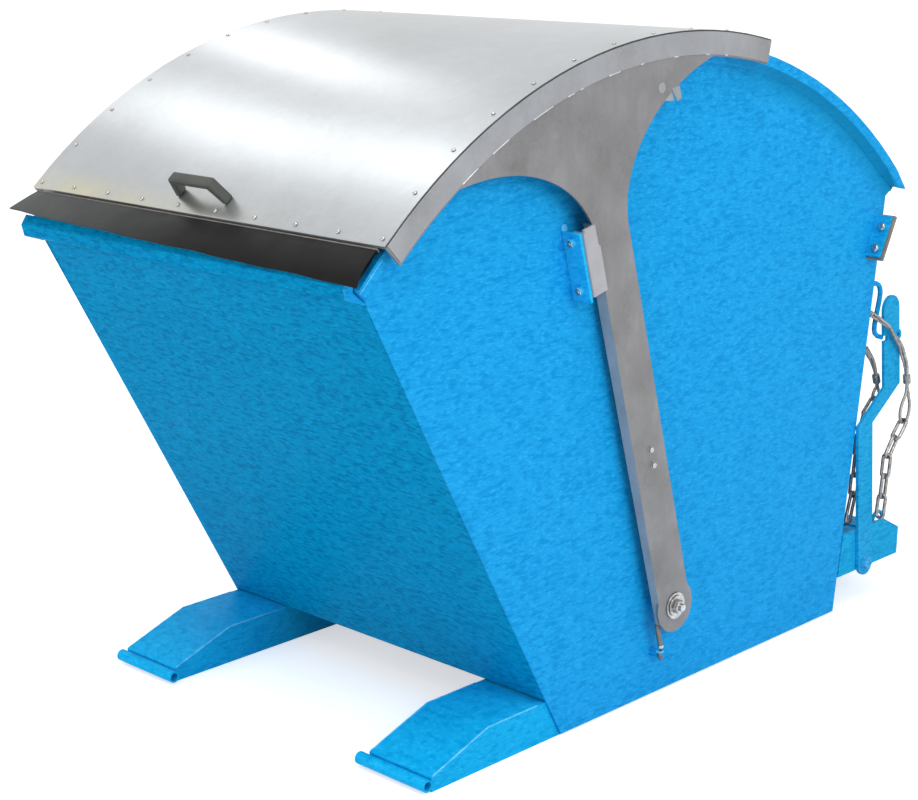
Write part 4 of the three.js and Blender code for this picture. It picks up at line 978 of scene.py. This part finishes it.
rope_steel = bare("rope_steel", (142, 139, 136), (190, 187, 184), (98, 94, 92), 0.01, 0.0012, 0.34, 0.75)
crimp_grey = bare("crimp_grey", (138, 135, 132), (168, 165, 162), (104, 100, 98), 0.01, 0.0015, 0.42, 0.7)
strand_radius, strand_apart, strand_turn = 0.0041, 0.0038, 0.30
ropes = {
    "release": ((526, 848, 756), [
        (0, 0, 0), (6, 3, -4), (12, 6, -8), (19, 9, -13), (25, 14, -19), (32, 22, -27),
        (33, 31, -36), (33, 43, -49), (33, 60, -65), (33, 76, -81), (33, 88, -98), (33, 98, -118),
        (33, 108, -137), (33, 114, -154), (33, 117, -171), (33, 119, -183), (33, 121, -195),
        (33, 122, -202)], [
        (33, 121, -196), (33, 122, -205), (35, 123, -215), (35, 129, -233), (35, 134, -256), (35, 131, -280),
        (35, 119, -296), (35, 104, -297), (35, 93, -284), (35, 92, -264), (35, 101, -242), (35, 114, -223),
        (33, 121, -207), (33, 121, -197)]),
    "safety": ((511, 868, 641), [
        (0, 0, 0), (1, 5, -7), (1, 10, -15), (1, 15, -24), (1, 20, -34),
        (1, 24, -44), (1, 27, -53), (1, 30, -62), (1, 33, -71), (1, 36, -80)], [
        (1, 35, -75), (1, 37, -84), (1, 42, -94), (1, 46, -106), (1, 42, -118), (1, 31, -122), (1, 20, -117),
        (1, 17, -105), (1, 24, -92), (1, 33, -83), (1, 35, -75)]),
}
for name, (leave, steps, eye_steps) in ropes.items():
    line = smooth_line(route(leave, steps))
    length = length_of(line)
    halves = []
    for number, start in enumerate((0.0, pi)):
        def place(share, start=start):
            turn = start + 0.5 + 2 * pi * share * length / strand_turn
            twist = strand(strand_radius, length)(share)
            return [(a + strand_apart * cos(turn), b + strand_apart * sin(turn)) for a, b in twist]
        halves.append(along("%s_strand_%d" % (name, number), line, place, rope_steel))
    rope = joined(name + "_wire_rope", halves)
    bpy.ops.object.shade_smooth()
    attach(rope, "bin")
    eye_line = smooth_line(route(leave, eye_steps))
    eye = along(name + "_rope_eye", eye_line, strand(0.0044, length_of(eye_line)), rope_steel)
    only(eye)
    bpy.ops.object.shade_smooth()
    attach(eye, "bin")
    at, before, after = route(leave, [steps[-3], steps[-4], steps[-2]])
    way = (after - before).normalized()
    ferrule = drum(name + "_pressed_ferrule", at, way, 0.0100, 0.024, crimp_grey, 28)
    choose(ferrule, lambda spot, out: abs(out.dot(way)) > 0.9)
    bpy.ops.mesh.inset(thickness=0.0028)
    bpy.ops.object.mode_set(mode="OBJECT")
    eased(ferrule, 0.002, segments=3)
    smooth(ferrule, 40)
    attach(ferrule, "bin")
    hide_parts(name + "_ferrule")
    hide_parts(name + "_rope")

# Chains. Short-link steel chain, weathered grey, hangs from each rope's eye, and the one
# behind the lever ends in a hook. The links are bent from round bar and butt welded.

chain_steel = bare("chain_steel", (132, 127, 124), (186, 182, 178), (82, 77, 74), 0.012, 0.002, 0.28, 0.85)


def link(name, middle, way, across, length, width, wire):
    """One round-bar link: a ring pulled out into two straight sides."""
    piece = begun(name, bpy.ops.mesh.primitive_torus_add, major_segments=26, minor_segments=12,
                  major_radius=(width - wire) / 2, minor_radius=wire / 2)
    pull = (length - width) / 2
    for end in (-1, 1):
        choose(piece, lambda at: at.x * end > 0.0, "VERT")
        bpy.ops.transform.translate(value=(pull * end, 0, 0))
    bpy.ops.object.mode_set(mode="OBJECT")
    way = Vector(way).normalized()
    normal = way.cross(Vector(across)).normalized()
    turn = Matrix((way, normal.cross(way), normal)).transposed().to_4x4()
    piece.data.transform(Matrix.Translation(Vector(middle)) @ turn)
    piece.data.materials.append(chain_steel)
    bpy.ops.object.shade_smooth()
    return piece


link_length, link_width, link_wire = 0.070, 0.031, 0.0094
chains = {
    "release": [
        (562.0, 937.5, 445.1, 0.0, -0.6991, -0.7151), (562.0, 902.4, 405.4, 0.0, -0.6251, -0.7805),
        (562.0, 882.3, 358.5, 0.0, -0.1328, -0.9911), (562.0, 874.7, 306.0, 0.0, -0.1558, -0.9878),
        (562.0, 866.2, 253.7, 0.0, -0.1647, -0.9863)],
    "safety": [
        (512.0, 875.9, 508.7, 0.0, -0.7580, -0.6522), (511.9, 845.0, 467.2, -0.0025, -0.4080, -0.9130),
        (511.4, 830.3, 416.8, -0.0175, -0.1472, -0.9889), (510.9, 823.4, 364.3, -0.0013, -0.1147, -0.9934),
        (510.4, 817.8, 311.6, -0.0176, -0.0961, -0.9952)],
}
for name, rows in chains.items():
    links = []
    for number, (x, y, z, *way) in enumerate(rows):
        way = Vector(way)
        across = Vector((1, 0, 0)) if number % 2 == 0 else way.cross(Vector((1, 0, 0))).normalized()
        links.append(link("%s_link_%d" % (name, number), in_frame(x, y, z), way, across,
                          link_length, link_width, link_wire))
    chain = joined(name + "_round_chain", links)
    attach(chain, "bin")
    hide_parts(name + "_chain")

# Snap hook. A long hook bent from round bar, with a straight gate, ends the chain behind
# the lever, and a steel link lies in the ring on the crossmember for it to catch.

low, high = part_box("snap_hook")
hook_way = Vector((0, -0.3, -0.95)).normalized()
hook_across = hook_way.cross(Vector((1, 0, 0)))
hook = link("long_snap_hook", (low + high) / 2, hook_way, hook_across, 0.092, 0.030, 0.009)
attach(hook, "bin")
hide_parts("snap_hook")
low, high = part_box("ring_link")
ring = link("bright_ring_link", (low + high) / 2, (0, 1, 0), (1, 0, 0), 0.044, 0.024, 0.006)
ring.data.materials[0] = bolt_zinc
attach(ring, "base")
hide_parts("ring_link")

# Room. A pale matt floor and a white backdrop stand round the bin, with soft square lamps
# and two narrow ones for the lid's bright bands. The camera is at the photograph's angle.


def looked_at(tree):
    """1 where the eye, a mirror or glass looks, and 0 where only light falls."""
    path = tree.nodes.new("ShaderNodeLightPath").outputs
    seen = step(tree, "Math", path["Is Camera Ray"], path["Is Glossy Ray"], operation="MAXIMUM").outputs[0]
    return step(tree, "Math", seen, path["Is Transmission Ray"], operation="MAXIMUM").outputs[0]


pale, pale_shader, here = finish("pale_floor", 0.9)
pale_shader.inputs["Base Color"].default_value = (0.86, 0.86, 0.86, 1)
tree = pale.node_tree
tree.links.new(product(tree, looked_at(tree), 0.55), pale_shader.inputs["Emission Strength"])
pale_shader.inputs["Emission Color"].default_value = (1, 1, 1, 1)
floor = begun("floor", bpy.ops.mesh.primitive_plane_add, size=60)
floor.data.materials.append(pale)

world = bpy.data.worlds.new("studio")
bpy.context.scene.world = world
world.use_nodes = True
sky = world.node_tree
ambient = sky.nodes["Background"]
ambient.inputs["Color"].default_value = (1, 1, 1, 1)
ambient.inputs["Strength"].default_value = 0.62
white = sky.nodes.new("ShaderNodeBackground")
white.inputs["Color"].default_value = (1, 1, 1, 1)
white.inputs["Strength"].default_value = 1.0
both = sky.nodes.new("ShaderNodeMixShader")
sky.links.new(looked_at(sky), both.inputs[0])
sky.links.new(ambient.outputs[0], both.inputs[1])
sky.links.new(white.outputs[0], both.inputs[2])
sky.links.new(both.outputs[0], sky.nodes["World Output"].inputs["Surface"])


def lamp(name, place, target, width, height, watts):
    """A soft lamp that looks at a point."""
    light = bpy.data.lights.new(name, "AREA")
    light.shape = "RECTANGLE"
    light.size = width
    light.size_y = height
    light.energy = watts
    holder = bpy.data.objects.new(name, light)
    bpy.context.scene.collection.objects.link(holder)
    holder.location = place
    holder.rotation_euler = (Vector(target) - Vector(place)).to_track_quat("-Z", "Y").to_euler()


lamp("right_lamp", (5.2, -0.5, 3.2), (0.2, 0.0, 0.7), 3.0, 3.0, 98)
lamp("top_lamp", (1.2, -1.8, 5.6), (0, 0, 0.9), 3.0, 3.0, 110)
lamp("front_lamp", (-1.0, -5.5, 1.6), (0, 0, 0.4), 3.0, 3.0, 72)
lamp("upper_sheen", (-4.1, 1.95, 4.0), (-0.5, -0.35, 1.45), 0.6, 1.3, 6)
lamp("lower_sheen", (-2.4, -0.2, 4.3), (0.1, -0.7, 1.3), 0.7, 2.8, 13)

camera_data = bpy.data.cameras.new("photo_camera")
camera_data.sensor_width = 36
camera_data.sensor_fit = "HORIZONTAL"
camera_data.lens = 78.434
camera_data.clip_end = 200
camera = bpy.data.objects.new("photo_camera", camera_data)
bpy.context.scene.collection.objects.link(camera)
heading, lift, roll = radians(44.98), radians(14.71), radians(-0.79)
ahead = Vector((-sin(heading) * cos(lift), cos(heading) * cos(lift), -sin(lift)))
across = ahead.cross(Vector((0, 0, 1))).normalized()
above = across.cross(ahead)
across, above = cos(roll) * across + sin(roll) * above, cos(roll) * above - sin(roll) * across
camera.matrix_world = Matrix((
    (across.x, above.x, -ahead.x, 3.2733),
    (across.y, above.y, -ahead.y, -3.40418),
    (across.z, above.z, -ahead.z, 1.8445),
    (0, 0, 0, 1),
))
bpy.context.scene.camera = camera
bpy.context.scene.view_settings.view_transform = "Standard"
